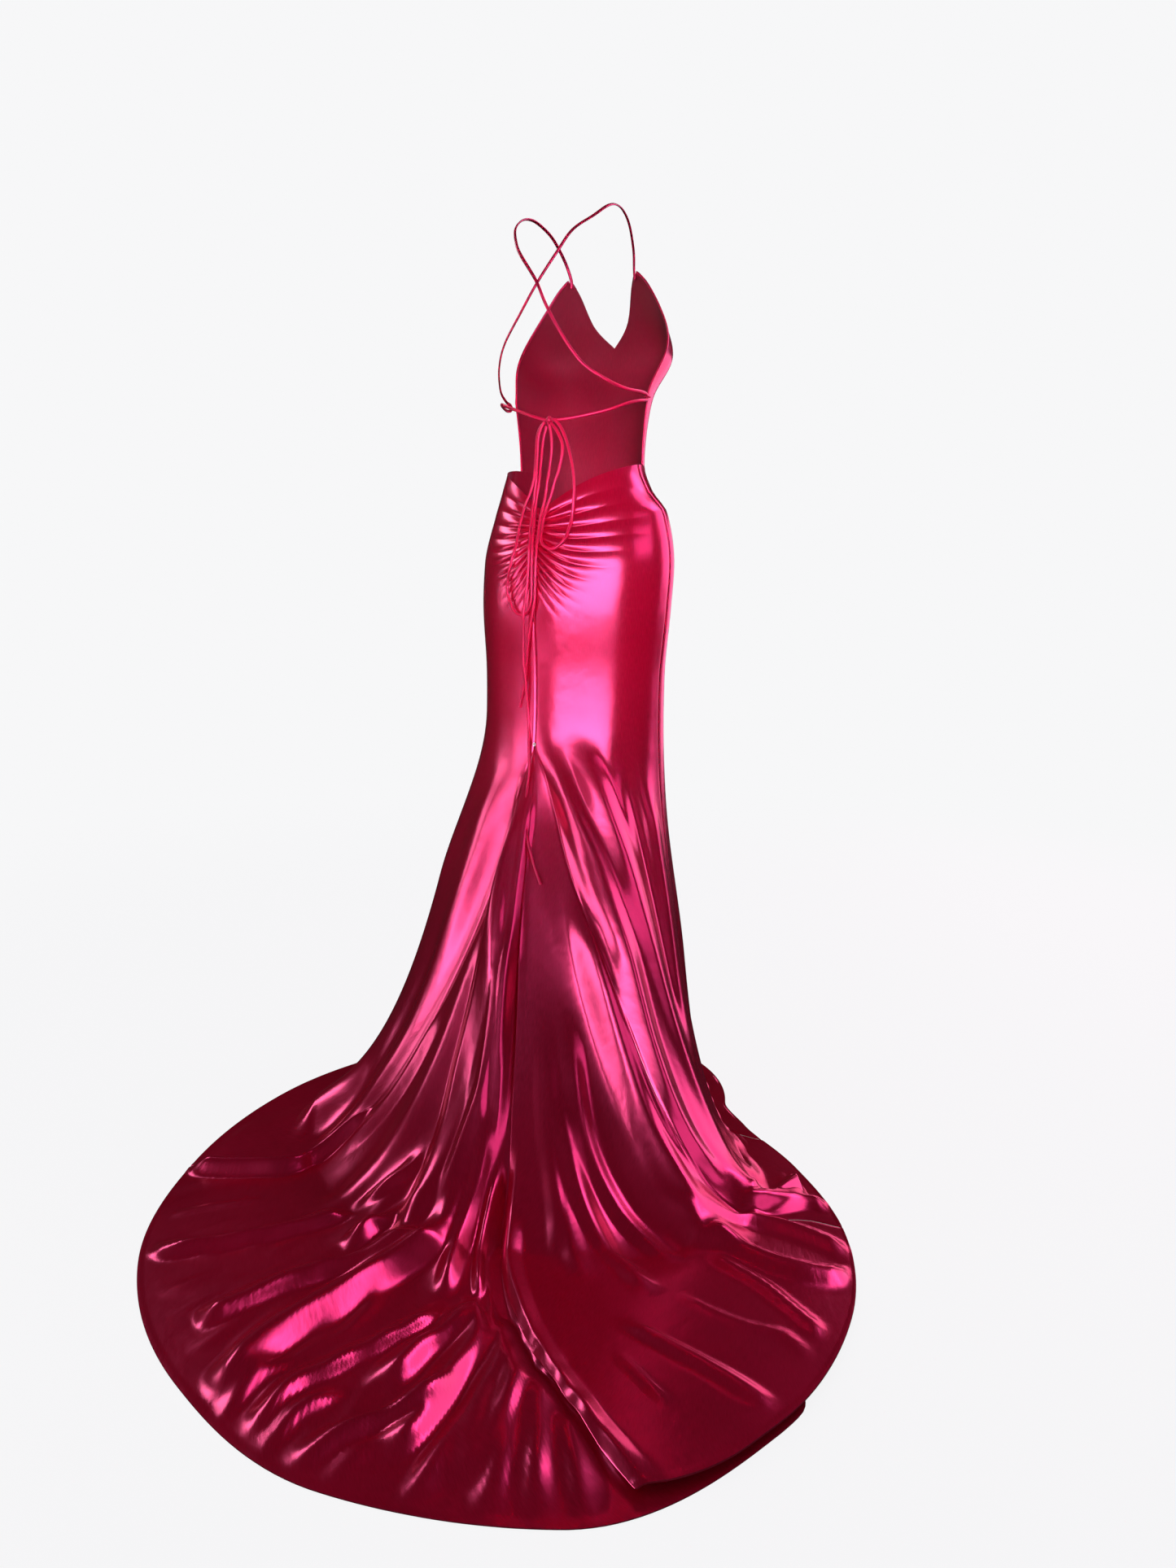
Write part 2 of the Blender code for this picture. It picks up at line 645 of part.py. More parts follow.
def make_wall(name, surface, across, down, across_step):
    """Build one closed cloth wall over a grid of surface coordinates."""
    middle = surface(across, down)
    outward = surface_normal(surface, across, down, across_step)
    outer = middle + outward * CLOTH / 2
    inner = middle - outward * CLOTH / 2
    for skin in (outer, inner):
        skin[..., 2] = np.maximum(skin[..., 2], 0.0)
    rows, columns = middle.shape[:2]
    mesh = bmesh.new()
    skins = [[[mesh.verts.new(point) for point in row] for row in skin] for skin in (outer, inner)]
    for grid in skins:
        for row in range(rows - 1):
            for column in range(columns - 1):
                mesh.faces.new((grid[row][column], grid[row + 1][column],
                                grid[row + 1][column + 1], grid[row][column + 1]))
    rim = [(0, column) for column in range(columns)]
    rim += [(row, columns - 1) for row in range(1, rows)]
    rim += [(rows - 1, column) for column in range(columns - 2, -1, -1)]
    rim += [(row, 0) for row in range(rows - 2, 0, -1)]
    for (row, column), (next_row, next_column) in zip(rim, rim[1:] + rim[:1]):
        mesh.faces.new((skins[0][row][column], skins[0][next_row][next_column],
                        skins[1][next_row][next_column], skins[1][row][column]))
    return finish_object(name, mesh)


def spread(start, end, steps):
    """Even stations from start to end."""
    return np.linspace(start, end, steps + 1)


def make_back(name, side):
    """One back panel, from the side seam to the centre back seam and the godet's seam."""
    last = len(RUCHES["seam"]) - 1
    courses = np.concatenate((
        spread(0, last, last * RUCHE_STEPS),
        spread(last, last + 1, HIP_ROWS)[1:],
        (last + GODET_TOP,),
        last + GODET_RUNS,
    ))
    from_seam = BACK_COLUMNS
    run = np.maximum(courses - last, 0)
    seam_name = "right_seam" if side > 0 else "left_seam"
    seam = np.where(run < GODET_TOP, 0.0, smooth_table(run, GODET["run"], GODET[seam_name]))
    inner = seam + side * gap_angle(seam, run)
    outer = side * (SIDE_SEAM - gap_angle(side * SIDE_SEAM, run))
    angle = inner[:, None] + (outer - inner)[:, None] * from_seam[None, :]
    if side < 0:
        angle = angle[:, ::-1]
    course = np.broadcast_to(courses[:, None], angle.shape)
    return make_wall(name, back_surface, angle, course, ANGLE_STEP)


def make_front():
    """The skirt front, from side seam to side seam."""
    runs = np.concatenate((spread(0, 1, FRONT_HIP_ROWS), GODET_RUNS))
    start = SIDE_SEAM + gap_angle(SIDE_SEAM, runs)
    end = 360 - SIDE_SEAM - gap_angle(-SIDE_SEAM, runs)
    share = spread(0, 1, FRONT_COLUMNS)
    angle = start[:, None] + (end - start)[:, None] * share[None, :]
    run = np.broadcast_to(runs[:, None], angle.shape)
    return make_wall("skirt_front", skirt_surface, angle, run, ANGLE_STEP)


def make_godet():
    """The godet and its train, with the deep pleat."""
    shares = np.concatenate((
        spread(0, UNDER_TURN_SHARE, GODET_LEFT_COLUMNS),
        spread(UNDER_TURN_SHARE, PLEAT_EDGE_SHARE, PLEAT_COLUMNS)[1:],
        spread(PLEAT_EDGE_SHARE, 1, GODET_RIGHT_COLUMNS)[1:],
    ))
    share, run = np.meshgrid(shares, GODET_RUNS)
    return make_wall("train_godet", godet_surface, share, run, SHARE_STEP)


def bodice_angles():
    """Angles of the bodice's columns from its right side edge to its left one."""
    half = np.concatenate((spread(BODICE_SIDE, STRAP_ANGLE, BODICE_SIDE_COLUMNS),
                           spread(STRAP_ANGLE, 180, BODICE_NECK_COLUMNS)[1:]))
    return np.concatenate((half, (360 - half)[-2::-1]))


def make_bodice():
    """The backless bodice front."""
    angle, down = np.meshgrid(bodice_angles(), spread(0, 1, BODICE_ROWS))
    return make_wall("bodice_front", bodice_surface, angle, down, ANGLE_STEP)


def curve_through(route, spacing):
    """Points at an even spacing on a smooth curve through a route's points."""
    knots = np.stack([route[axis] for axis in "xyz"], axis=-1)
    ends = np.concatenate((2 * knots[:1] - knots[1:2], knots, 2 * knots[-1:] - knots[-2:-1]))
    dense = []
    for before, start, end, after in zip(ends, ends[1:], ends[2:], ends[3:]):
        for part in np.arange(0, 1, CURVE_STEP):
            dense.append(0.5 * (2 * start + (end - before) * part
                                + (2 * before - 5 * start + 4 * end - after) * part ** 2
                                + (3 * start - before - 3 * end + after) * part ** 3))
    dense = np.array(dense + [knots[-1]])
    travel = np.concatenate(([0], np.cumsum(np.linalg.norm(np.diff(dense, axis=0), axis=1))))
    count = max(2, round(travel[-1] / spacing))
    even = np.linspace(0, travel[-1], count + 1)
    return np.stack([np.interp(even, travel, dense[:, axis]) for axis in range(3)], axis=-1)


def make_band(name, points, outward, width, thickness):
    """A narrow sewn band with an oval section, swept along its points."""
    forward = unit(np.gradient(points, axis=0))
    sideways = unit(np.cross(outward, forward))
    upward = np.cross(forward, sideways)
    mesh = bmesh.new()
    rings = []
    for point, side, up in zip(points, sideways, upward):
        turns = [2 * math.pi * corner / BAND_SIDES for corner in range(BAND_SIDES)]
        rings.append([mesh.verts.new(point + side * math.cos(turn) * width / 2
                                     + up * math.sin(turn) * thickness / 2) for turn in turns])
    for ring, next_ring in zip(rings, rings[1:]):
        for corner in range(BAND_SIDES):
            other = (corner + 1) % BAND_SIDES
            mesh.faces.new((ring[corner], ring[other], next_ring[other], next_ring[corner]))
    mesh.faces.new(rings[0])
    mesh.faces.new(rings[-1])
    return finish_object(name, mesh)


def away_from_body(points):
    """Directions out of the body at points on it."""
    centre = np.zeros_like(points)
    centre[:, 2] = np.minimum(points[:, 2], NECK_CENTRE)
    return unit(points - centre)


def keep_bends(points, spacing):
    """Thin a fine line of points out, keeping more of them where it bends."""
    forward = unit(np.gradient(points, axis=0))
    kept = [0]
    for index in range(1, len(points) - 1):
        far = np.linalg.norm(points[index] - points[kept[-1]]) >= spacing
        turned = forward[index] @ forward[kept[-1]] < math.cos(math.radians(STRAP_TURN))
        if far or turned:
            kept.append(index)
    if np.linalg.norm(points[-1] - points[kept[-1]]) < spacing / 3:
        kept.pop()
    return points[kept + [len(points) - 1]]


def make_strap(name, route):
    """One shoulder strap: up over the shoulder, across the back, through the side loop, to the knot."""
    points = keep_bends(curve_through(route, STRAP_FINE), STRAP_SPACING)
    return make_band(name, points, away_from_body(points), STRAP_WIDTH, STRAP_THICKNESS)


def make_binding(name, side):
    """The bound edge of the bodice, from beside the strap down the armhole and the open side."""
    armhole = spread(BODICE_SIDE, STRAP_ANGLE, BODICE_SIDE_COLUMNS)[-2:0:-1]
    downs = spread(0, 1, BODICE_ROWS)
    angle = np.concatenate((armhole, np.full(len(downs), BODICE_SIDE)))
    down = np.concatenate((np.zeros(len(armhole)), downs))
    if side < 0:
        angle = 360 - angle
    edge = bodice_surface(angle, down)
    outward = surface_normal(bodice_surface, angle, down, ANGLE_STEP)
    beside = unit(np.cross(np.gradient(edge, axis=0), outward)) * side
    points = edge + beside * (SEAM_GAP + BINDING_WIDTH / 2)
    return make_band(name, points, outward, BINDING_WIDTH, BINDING_THICKNESS)


def make_side_loop(name, side):
    """The small loop at the end of the armhole that the strap turns in."""
    centre = Vector((side * LOOP_CENTRE[0], LOOP_CENTRE[1], LOOP_CENTRE[2]))
    mesh = bmesh.new()
    start = centre + Vector((LOOP_RADIUS, 0, 0))
    facing = Matrix.Translation(start) @ Matrix.Rotation(math.pi / 2, 4, "X")
    bmesh.ops.create_circle(mesh, segments=BAND_SIDES, radius=LOOP_WIRE, matrix=facing)
    bmesh.ops.spin(mesh, geom=mesh.edges[:], cent=centre, axis=(0, 0, 1),
                   angle=2 * math.pi, steps=ROUND_SEGMENTS, use_merge=True)
    return finish_object(name, mesh)


def make_round(name, centre, radii, colour):
    """A round piece: the knot or the bead."""
    mesh = bmesh.new()
    place = Matrix.Translation(centre) @ Matrix.Diagonal((*radii, 1))
    bmesh.ops.create_uvsphere(mesh, u_segments=ROUND_SEGMENTS, v_segments=ROUND_RINGS, radius=1, matrix=place)
    return finish_object(name, mesh, colour)


def make_bead():
    """The small bead where the godet's two seams meet."""
    at = np.array(0.0), np.array(GODET_TOP)
    place = skirt_surface(*at) + surface_normal(skirt_surface, *at, ANGLE_STEP) * (
        CLOTH / 2 + BEAD_RADIUS + SEAM_GAP)
    return make_round("seam_bead", Vector(place), (BEAD_RADIUS,) * 3, BEAD_COLOUR)


def make_tie(name, route):
    """One tie of the bow, a round cord along its route."""
    points = curve_through(route, TIE_SPACING)
    curve = bpy.data.curves.new(name, "CURVE")
    curve.dimensions = "3D"
    curve.bevel_depth = TIE_DIAMETER / 2
    curve.bevel_resolution = 2
    curve.use_fill_caps = True
    line = curve.splines.new("POLY")
    line.points.add(len(points) - 1)
    for knot, point in zip(line.points, points):
        knot.co = (point[0], point[1], point[2] - SHOULDER, 1)
    curve.materials.append(fabric(name + "_finish", SATIN_COLOUR))
    tie = bpy.data.objects.new(name, curve)
    bpy.context.collection.objects.link(tie)
    return tie


def main():
    for thing in list(bpy.data.objects):
        bpy.data.objects.remove(thing)
    make_bodice()
    make_front()
    make_back("skirt_back_left", -1)
    make_back("skirt_back_right", 1)
    make_godet()
    for name, side in (("left", -1), ("right", 1)):
        make_binding("binding_" + name, side)
        make_side_loop("side_loop_" + name, -side)
    make_strap("strap_left_shoulder", LEFT_STRAP)
    make_strap("strap_right_shoulder", RIGHT_STRAP)
    make_round("waist_knot", Vector(KNOT_CENTRE), KNOT_RADII, SATIN_COLOUR)
    make_tie("tie_loop_left", LEFT_TIE_LOOP)
    make_tie("tie_loop_right", RIGHT_TIE_LOOP)
    make_tie("tie_end_long", LONG_TIE_END)
    make_tie("tie_end_short", SHORT_TIE_END)
    make_bead()


main()
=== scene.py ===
import math

import bpy
import numpy as np
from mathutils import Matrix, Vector


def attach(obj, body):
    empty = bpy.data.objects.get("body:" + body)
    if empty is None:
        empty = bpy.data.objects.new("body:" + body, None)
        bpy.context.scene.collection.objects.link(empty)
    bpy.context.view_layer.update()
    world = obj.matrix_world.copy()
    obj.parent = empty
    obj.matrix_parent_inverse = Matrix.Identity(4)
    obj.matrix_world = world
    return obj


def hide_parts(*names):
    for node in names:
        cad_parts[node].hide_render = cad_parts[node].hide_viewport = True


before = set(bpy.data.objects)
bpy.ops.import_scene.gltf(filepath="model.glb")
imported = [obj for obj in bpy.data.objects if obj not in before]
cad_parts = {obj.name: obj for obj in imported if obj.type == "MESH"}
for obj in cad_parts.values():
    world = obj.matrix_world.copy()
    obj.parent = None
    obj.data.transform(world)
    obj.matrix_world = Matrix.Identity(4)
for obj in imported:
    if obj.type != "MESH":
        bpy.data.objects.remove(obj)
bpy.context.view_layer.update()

# Backless halter gown with a godet train, standing as it is worn. The front faces -Y, the wearer's right is
# -X. Heights in the tables are above the floor, which is 1.505 m below the origin at the tops of the straps.
# Angles are degrees round the gown, 0 at the centre back and growing towards the wearer's right side.
# A run counts down the cloth: 0 top edge, 1 knee, 2 where the cloth meets the floor, 3 hem.

shoulder = 1.505
floorDrop = Vector((0, 0, -shoulder))
sharpEdge = 80   # degrees between two faces above which the shading breaks


def table(names, *rows):  # names the columns of a short table
    return dict(zip(names.split(), np.array(rows, dtype=float).T))


def smoothTable(at, stations, values):  # a curve through a table's rows that never overshoots them
    at = np.asarray(at, dtype=float)
    stations, values = np.asarray(stations, dtype=float), np.asarray(values, dtype=float)
    if values.ndim == 1:
        values = values.reshape((-1,) + (1,) * at.ndim)
    values = np.broadcast_to(values, (len(stations),) + at.shape)
    step = np.diff(stations)
    wide = step.reshape((-1,) + (1,) * at.ndim)
    slope = np.diff(values, axis=0) / wide
    near, far = 2 * wide[1:] + wide[:-1], wide[1:] + 2 * wide[:-1]
    turning = slope[:-1] * slope[1:] <= 0
    above = np.where(turning, 1.0, slope[:-1])
    below = np.where(turning, 1.0, slope[1:])
    inner = np.where(turning, 0.0, (near + far) / (near / above + far / below))
    tangent = np.concatenate((slope[:1], inner, slope[-1:]))
    row = np.clip(np.searchsorted(stations, at, side="right") - 1, 0, len(step) - 1)
    part = np.clip((at - stations[row]) / step[row], 0.0, 1.0)
    rise = part * part * (3 - 2 * part)

    def pick(columns, index):
        return np.take_along_axis(columns, index[None], axis=0)[0]

    return (
        pick(values, row) * (1 - rise)
        + pick(values, row + 1) * rise
        + pick(tangent, row) * step[row] * part * (1 - part) ** 2
        - pick(tangent, row + 1) * step[row] * part * part * (1 - part)
    )


def smoothStep(value):
    value = np.clip(value, 0, 1)
    return value * value * (3 - 2 * value)


def between(value, start, end, rise, fade):  # 1 between start and end, easing in and out within them
    return smoothStep((value - start) / rise) * smoothStep((end - value) / fade)


def halfTurn(angle):  # the same angle between -180 and 180
    return (angle + 180) % 360 - 180


def unit(vectors):
    return vectors / np.maximum(np.linalg.norm(vectors, axis=-1, keepdims=True), 1e-12)


def travelled(points, axis):  # distance along a line or a grid of points from its first one
    steps = np.diff(points, axis=axis, prepend=points.take([0], axis=axis))
    return np.cumsum(np.linalg.norm(steps, axis=-1), axis=axis)


# Camera: where the photograph was taken from
camera = {
    "place": (-1.0302, 1.7377, 0.930),   # above the floor
    "round": 210.0,                      # degrees round from the front
    "down": 10.0,
    "lens": 27.05,
    "sensor": 36.0,
    "farthest": 60.0,
}


def makeCamera(settings):
    data = bpy.data.cameras.new("photoCamera")
    data.lens = settings["lens"]
    data.sensor_width = settings["sensor"]
    data.clip_end = settings["farthest"]
    view = bpy.data.objects.new("photoCamera", data)
    bpy.context.collection.objects.link(view)
    turn, tilt = math.radians(settings["round"]), math.radians(settings["down"])
    away = Vector((-math.sin(turn) * math.cos(tilt), math.cos(turn) * math.cos(tilt), -math.sin(tilt)))
    view.rotation_euler = away.to_track_quat("-Z", "Y").to_euler()
    view.location = Vector(settings["place"]) + floorDrop
    bpy.context.scene.camera = view
    print("camera placed")


makeCamera(camera)


# Materials
def linear(hexColour):  # sRGB hex to linear
    parts = (int(hexColour[at:at + 2], 16) / 255 for at in (1, 3, 5))
    return *(part / 12.92 if part <= 0.04045 else ((part + 0.055) / 1.055) ** 2.4 for part in parts), 1.0


def fillInputs(tree, node, inputs):  # each input gets its value, or a link from another node's output
    for name, value in inputs.items():
        if isinstance(value, bpy.types.NodeSocket):
            tree.links.new(value, node.inputs[name])
        else:
            node.inputs[name].default_value = value


def addNode(tree, kind, inputs, **settings):  # a node with its settings and links
    node = tree.nodes.new("ShaderNode" + kind)
    for name, value in settings.items():
        setattr(node, name, value)
    fillInputs(tree, node, inputs)
    return node


def newMaterial(name):
    material = bpy.data.materials.new(name)
    material.use_nodes = True
    return material, material.node_tree, material.node_tree.nodes["Principled BSDF"]


satin = {  # deep and bright are the floats in the shade and in the light, shine the colour of their gloss
    "outside": {"deep": "#96021F", "bright": "#B0042A", "shine": "#FF5292", "roughness": 0.22, "ior": 3.0},
    "wrongSide": {"deep": "#7A0A22", "bright": "#93102C", "shine": "#FF6C90", "roughness": 0.62, "ior": 1.5},
    "tubing": {"deep": "#B4042F", "bright": "#D10A3C", "shine": "#FF5292", "roughness": 0.30, "ior": 2.1},
    "uneven": 0.05,           # how far the roughness goes up and down from float to float
    "anisotropic": 0.40,
    "grainTurn": 0.25,        # share of a full turn from the weave's width to its floats
    "floatLength": 14.0,      # millimetres, drawn far longer than the real 2 mm so that they show
    "floatWidth": 1.1,
    "floatRelief": (0.25, 0.0002),   # strength and depth
    "rumple": 26.0,           # millimetres across the soft unevenness of the cloth
    "rumpleRelief": (0.35, 0.0012),
    "shadeSize": 180.0,
    "shadeRange": (0.75, 1.25),
    "sheen": (0.02, 0.4, "#FF5A8C"),   # weight, roughness, tint
}


def satinMaterial(name, face, settings):
    # Warp-faced stretch satin: long floats down the cloth give a broad pink gloss across a crimson ground
    material, tree, surface = newMaterial(name)
    weave = addNode(tree, "UVMap", {}, uv_map="weave").outputs["UV"]
    across, along = 1000 / settings["floatWidth"], 1000 / settings["floatLength"]
    floatsAt = addNode(tree, "Mapping", {"Vector": weave, "Scale": (across, along, 1.0)}).outputs["Vector"]
    floats = addNode(tree, "TexNoise", {"Vector": floatsAt, "Scale": 1.0, "Detail": 2.0}).outputs["Fac"]
    rumple = addNode(tree, "TexNoise", {
        "Vector": weave, "Scale": 1000 / settings["rumple"], "Detail": 3.0, "Roughness": 0.45}).outputs["Fac"]
    place = addNode(tree, "TexCoord", {}).outputs["Object"]
    shade = addNode(tree, "TexNoise", {
        "Vector": place, "Scale": 1000 / settings["shadeSize"], "Detail": 2.0}).outputs["Fac"]
    blend = addNode(tree, "Math", {0: floats, 1: shade}, operation="ADD").outputs[0]
    low, high = settings["shadeRange"]
    tone = addNode(tree, "MapRange", {"Value": blend, "From Min": low, "From Max": high}).outputs["Result"]
    colour = addNode(tree, "Mix", {
        0: tone, 6: linear(face["deep"]), 7: linear(face["bright"])}, data_type="RGBA").outputs[2]
    gloss = addNode(tree, "MapRange", {
        "Value": floats, "To Min": face["roughness"] - settings["uneven"],
        "To Max": face["roughness"] + settings["uneven"]}).outputs["Result"]
    strength, depth = settings["rumpleRelief"]
    soft = addNode(tree, "Bump", {"Height": rumple, "Strength": strength, "Distance": depth}).outputs[0]
    strength, depth = settings["floatRelief"]
    fine = addNode(tree, "Bump", {"Height": floats, "Strength": strength, "Distance": depth, "Normal": soft})
    weight, roughness, tint = settings["sheen"]
    fillInputs(tree, surface, {
        "Base Color": colour,
        "Roughness": gloss,
        "Normal": fine.outputs[0],
        "Metallic": 0.0,
        "IOR": face["ior"],
        "Specular Tint": linear(face["shine"]),
        "Anisotropic": settings["anisotropic"],
        "Anisotropic Rotation": settings["grainTurn"],
        "Tangent": addNode(tree, "Tangent", {}, direction_type="UV_MAP", uv_map="weave").outputs["Tangent"],
        "Sheen Weight": weight,
        "Sheen Roughness": roughness,
        "Sheen Tint": linear(tint),
    })
    return material


satinOutside = satinMaterial("stretchSatin", satin["outside"], satin)
satinInside = satinMaterial("stretchSatinWrongSide", satin["wrongSide"], satin)
satinTrim = satinMaterial("satinTubing", satin["tubing"], satin)


def standFor(piece, node):  # a finished piece takes its node's place, on the gown's one body
    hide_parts(node)
    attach(piece, "root")
    return piece


def meshPiece(name, points, faces, uvs, materials, slots=None):
    # one mesh object at the origin, with a UV map in metres; heights above the floor are shifted here
    data = bpy.data.meshes.new(name)
    data.from_pydata((np.asarray(points) + np.array(floorDrop)).tolist(), [], faces)
    layer = data.uv_layers.new(name="weave")
    corners = np.zeros(len(data.loops), dtype=int)
    data.loops.foreach_get("vertex_index", corners)
    layer.data.foreach_set("uv", np.asarray(uvs)[corners].ravel())
    for material in materials:
        data.materials.append(material)
    if slots is not None:
        data.polygons.foreach_set("material_index", slots)
    data.shade_smooth()
    data.set_sharp_from_angle(angle=math.radians(sharpEdge))
    data.update()
    piece = bpy.data.objects.new(name, data)
    bpy.context.collection.objects.link(piece)
    return piece


# Cords and bands: points on each centre line in tenths of a millimetre, with the height above the floor
routes = {
    "strap_left_shoulder": (
        (606, -958, 14140), (610, -935, 14300), (660, -820, 14560), (720, -560, 14850),
        (765, -280, 14990), (785, 0, 15035), (790, 280, 14970), (745, 560, 14770), (600, 770, 14500),
        (430, 900, 14260), (80, 1012, 13820), (-98, 1005, 13445), (-346, 960, 13005), (-651, 855, 12570),
        (-970, 645, 12320), (-1180, 385, 12200), (-1275, 80, 12188), (-1300, -72, 12172),
        (-1303, -116, 12125), (-1300, -74, 12078), (-1270, 90, 12050), (-1180, 330, 11990),
        (-1000, 560, 11885), (-677, 770, 11790), (-400, 870, 11745), (-178, 925, 11732),
    ),
    "strap_right_shoulder": (
        (-606, -958, 14140), (-610, -935, 14300), (-660, -820, 14560), (-730, -560, 14850),
        (-785, -280, 14990), (-810, 0, 15035), (-800, 280, 14970), (-690, 560, 14770),
        (-460, 800, 14540), (-250, 910, 14230), (85, 968, 13800), (413, 945, 13390), (815, 805, 12980),
        (1050, 625, 12650), (1220, 340, 12350), (1275, 100, 12210), (1300, -72, 12172),
        (1303, -116, 12125), (1300, -74, 12078), (1275, 90, 12062), (1180, 370, 12100),
        (1023, 590, 12080), (808, 730, 12010), (309, 895, 11840), (80, 915, 11765), (-30, 915, 11740),
    ),
    "tie_loop_left": (
        (-45, 972, 11700), (52, 970, 11610), (100, 980, 11460), (112, 1005, 11140), (130, 1035, 10830),
        (195, 1065, 10580), (270, 1090, 10400), (326, 1165, 10090), (356, 1250, 9754), (390, 1275, 9640),
        (449, 1285, 9418), (500, 1265, 9248), (516, 1260, 9080), (468, 1275, 8923), (357, 1295, 8745),
        (247, 1310, 8692), (150, 1318, 8705), (66, 1325, 8765), (15, 1332, 8880), (0, 1335, 9000),
        (0, 1330, 9250), (5, 1315, 9500), (10, 1290, 9747), (40, 1190, 10079), (56, 1110, 10377),
        (15, 1060, 10800), (0, 1015, 11130), (-20, 985, 11420), (-70, 970, 11630),
    ),
    "tie_end_long": (
        (-60, 1019, 11690), (0, 1029, 11590), (43, 1032, 11450), (60, 1048, 11140), (68, 1070, 10810),
        (108, 1100, 10400), (98, 1185, 10085), (72, 1285, 9752), (68, 1300, 9656), (85, 1315, 9251),
        (112, 1330, 9005), (135, 1372, 8710), (155, 1345, 8450), (178, 1315, 7950), (165, 1300, 7750),
        (140, 1243, 7016), (82, 1328, 6557), (30, 1405, 6222), (13, 1485, 5942), (-30, 1610, 5619),
        (-97, 1715, 5355), (-213, 1828, 5092), (-366, 1910, 4779), (-542, 1985, 4465),
    ),
    "tie_end_short": (
        (-125, 1000, 11680), (-165, 1000, 11550), (-187, 1005, 11290), (-162, 1025, 11010),
        (-135, 1050, 10800), (-110, 1075, 10560), (-80, 1105, 10370), (-58, 1150, 10200),
        (-60, 1195, 10040), (-66, 1240, 9910), (-66, 1285, 9750), (-75, 1320, 9530), (-66, 1325, 9250),
        (-55, 1325, 9000), (-35, 1322, 8850), (15, 1315, 8634), (68, 1302, 8402), (146, 1267, 7966),
        (193, 1250, 7655), (257, 1234, 7400), (320, 1218, 7176),
    ),
    "tie_loop_right": (
        (-162, 968, 11678), (-225, 970, 11605), (-302, 980, 11500), (-372, 990, 11350),
        (-379, 1005, 11187), (-325, 1030, 10934), (-277, 1050, 10796), (-214, 1075, 10559),
        (-155, 1100, 10400), (-125, 1150, 10234), (-120, 1190, 10080), (-122, 1245, 9900),
        (-178, 1270, 9795), (-273, 1275, 9735), (-358, 1262, 9728), (-440, 1232, 9775),
        (-513, 1190, 9855), (-555, 1135, 9980), (-585, 1060, 10189), (-610, 1040, 10460),
        (-608, 1022, 10738), (-551, 1000, 11063), (-450, 980, 11390), (-335, 970, 11610),
        (-245, 970, 11705), (-178, 970, 11740),
    ),
}
band = {
    "strap": (0.0055, 0.0030, 0.02),   # width, thickness, and the share of them that small creases change
    "tie": (0.0050, 0.0036, 0.03),
    "sides": 14,
    "spacing": 0.0016,
    "curveStep": 0.05,        # of the way from one route point to the next
    "neckCentre": 1.36,       # above this height the straps turn over the shoulders
    "uneven": 0.035,          # share of the width that changes along the tube
    "unevenLength": 0.021,
    "creaseLength": 0.0073,
    "creaseDrift": (1.3, 0.03),
    "seamDepth": 0.10,        # share of the thickness that the tube's own seam draws in
    "seamSpread": 0.35,
    "endShrink": 0.6,         # rounded ends: width of the last ring and its reach in thicknesses
    "endReach": 0.12,
    "girth": 2.4,             # length round the tube in widths
}


def curveThrough(route, spacing, step):  # even points on a smooth curve through a route
    knots = np.array(route) / 10000
    ends = np.concatenate((2 * knots[:1] - knots[1:2], knots, 2 * knots[-1:] - knots[-2:-1]))
    dense = []
    for before, start, end, after in zip(ends, ends[1:], ends[2:], ends[3:]):
        for part in np.arange(0, 1, step):
            dense.append(0.5 * (2 * start + (end - before) * part
                                + (2 * before - 5 * start + 4 * end - after) * part ** 2
                                + (3 * start - before - 3 * end + after) * part ** 3))
    dense = np.array(dense + [knots[-1]])
    travel = travelled(dense, 0)
    count = max(2, round(travel[-1] / spacing))
    even = np.linspace(0, travel[-1], count + 1)
    return np.stack([np.interp(even, travel, dense[:, axis]) for axis in range(3)], axis=-1), travel[-1]


def onward(start, end, count):  # even steps from start to end, without the start
    return np.linspace(start, end, count + 1)[1:]


def sweepBand(name, points, outward, width, thickness, creased, settings):  # a sewn tube along a line
    forward = unit(np.gradient(points, axis=0))
    sideways = unit(np.cross(outward, forward))
    upward = np.cross(forward, sideways)
    sides, travel = settings["sides"], travelled(points, 0)
    turn = 2 * math.pi * np.arange(sides) / sides
    drift, driftLength = settings["creaseDrift"]
    slow = np.sin(travel / settings["unevenLength"])[:, None]
    quick = np.sin(travel / settings["creaseLength"] + drift * np.sin(travel / driftLength))[:, None]
    uneven = 1 + settings["uneven"] * slow * np.cos(2 * turn)[None, :]
    uneven += creased * quick * np.cos(3 * turn)[None, :]
    seam = 1 - settings["seamDepth"] * np.exp(-((turn - math.pi) / settings["seamSpread"]) ** 2)[None, :]
    radius = uneven * seam
    wide, high = (wave[None, :, None] * radius[..., None] for wave in (np.cos(turn), np.sin(turn)))
    ring = points[:, None] + sideways[:, None] * (wide * width / 2) + upward[:, None] * (high * thickness / 2)
    ends = points[[0, -1], None]
    inset = (ring[[0, -1]] - ends) * settings["endShrink"] + ends
    inset[0] -= forward[0] * thickness * settings["endReach"]
    inset[1] += forward[-1] * thickness * settings["endReach"]
    rings = np.concatenate((inset[:1], ring, inset[1:]))
    last = len(rings) - 1
    start = np.arange(last)[:, None] * sides
    one, two = np.arange(sides)[None, :], (np.arange(sides)[None, :] + 1) % sides
    wall = np.stack((start + one, start + two, start + sides + two, start + sides + one), axis=-1)
    caps = [list(range(sides))[::-1], [last * sides + corner for corner in range(sides)]]
    length = np.concatenate(([0], travel, travel[-1:]))
    uvs = np.stack(np.broadcast_arrays(one / sides * width * settings["girth"], length[:, None]), axis=-1)
    return meshPiece(name, rings.reshape(-1, 3), wall.reshape(-1, 4).tolist() + caps, uvs.reshape(-1, 2),
                     [satinTrim])


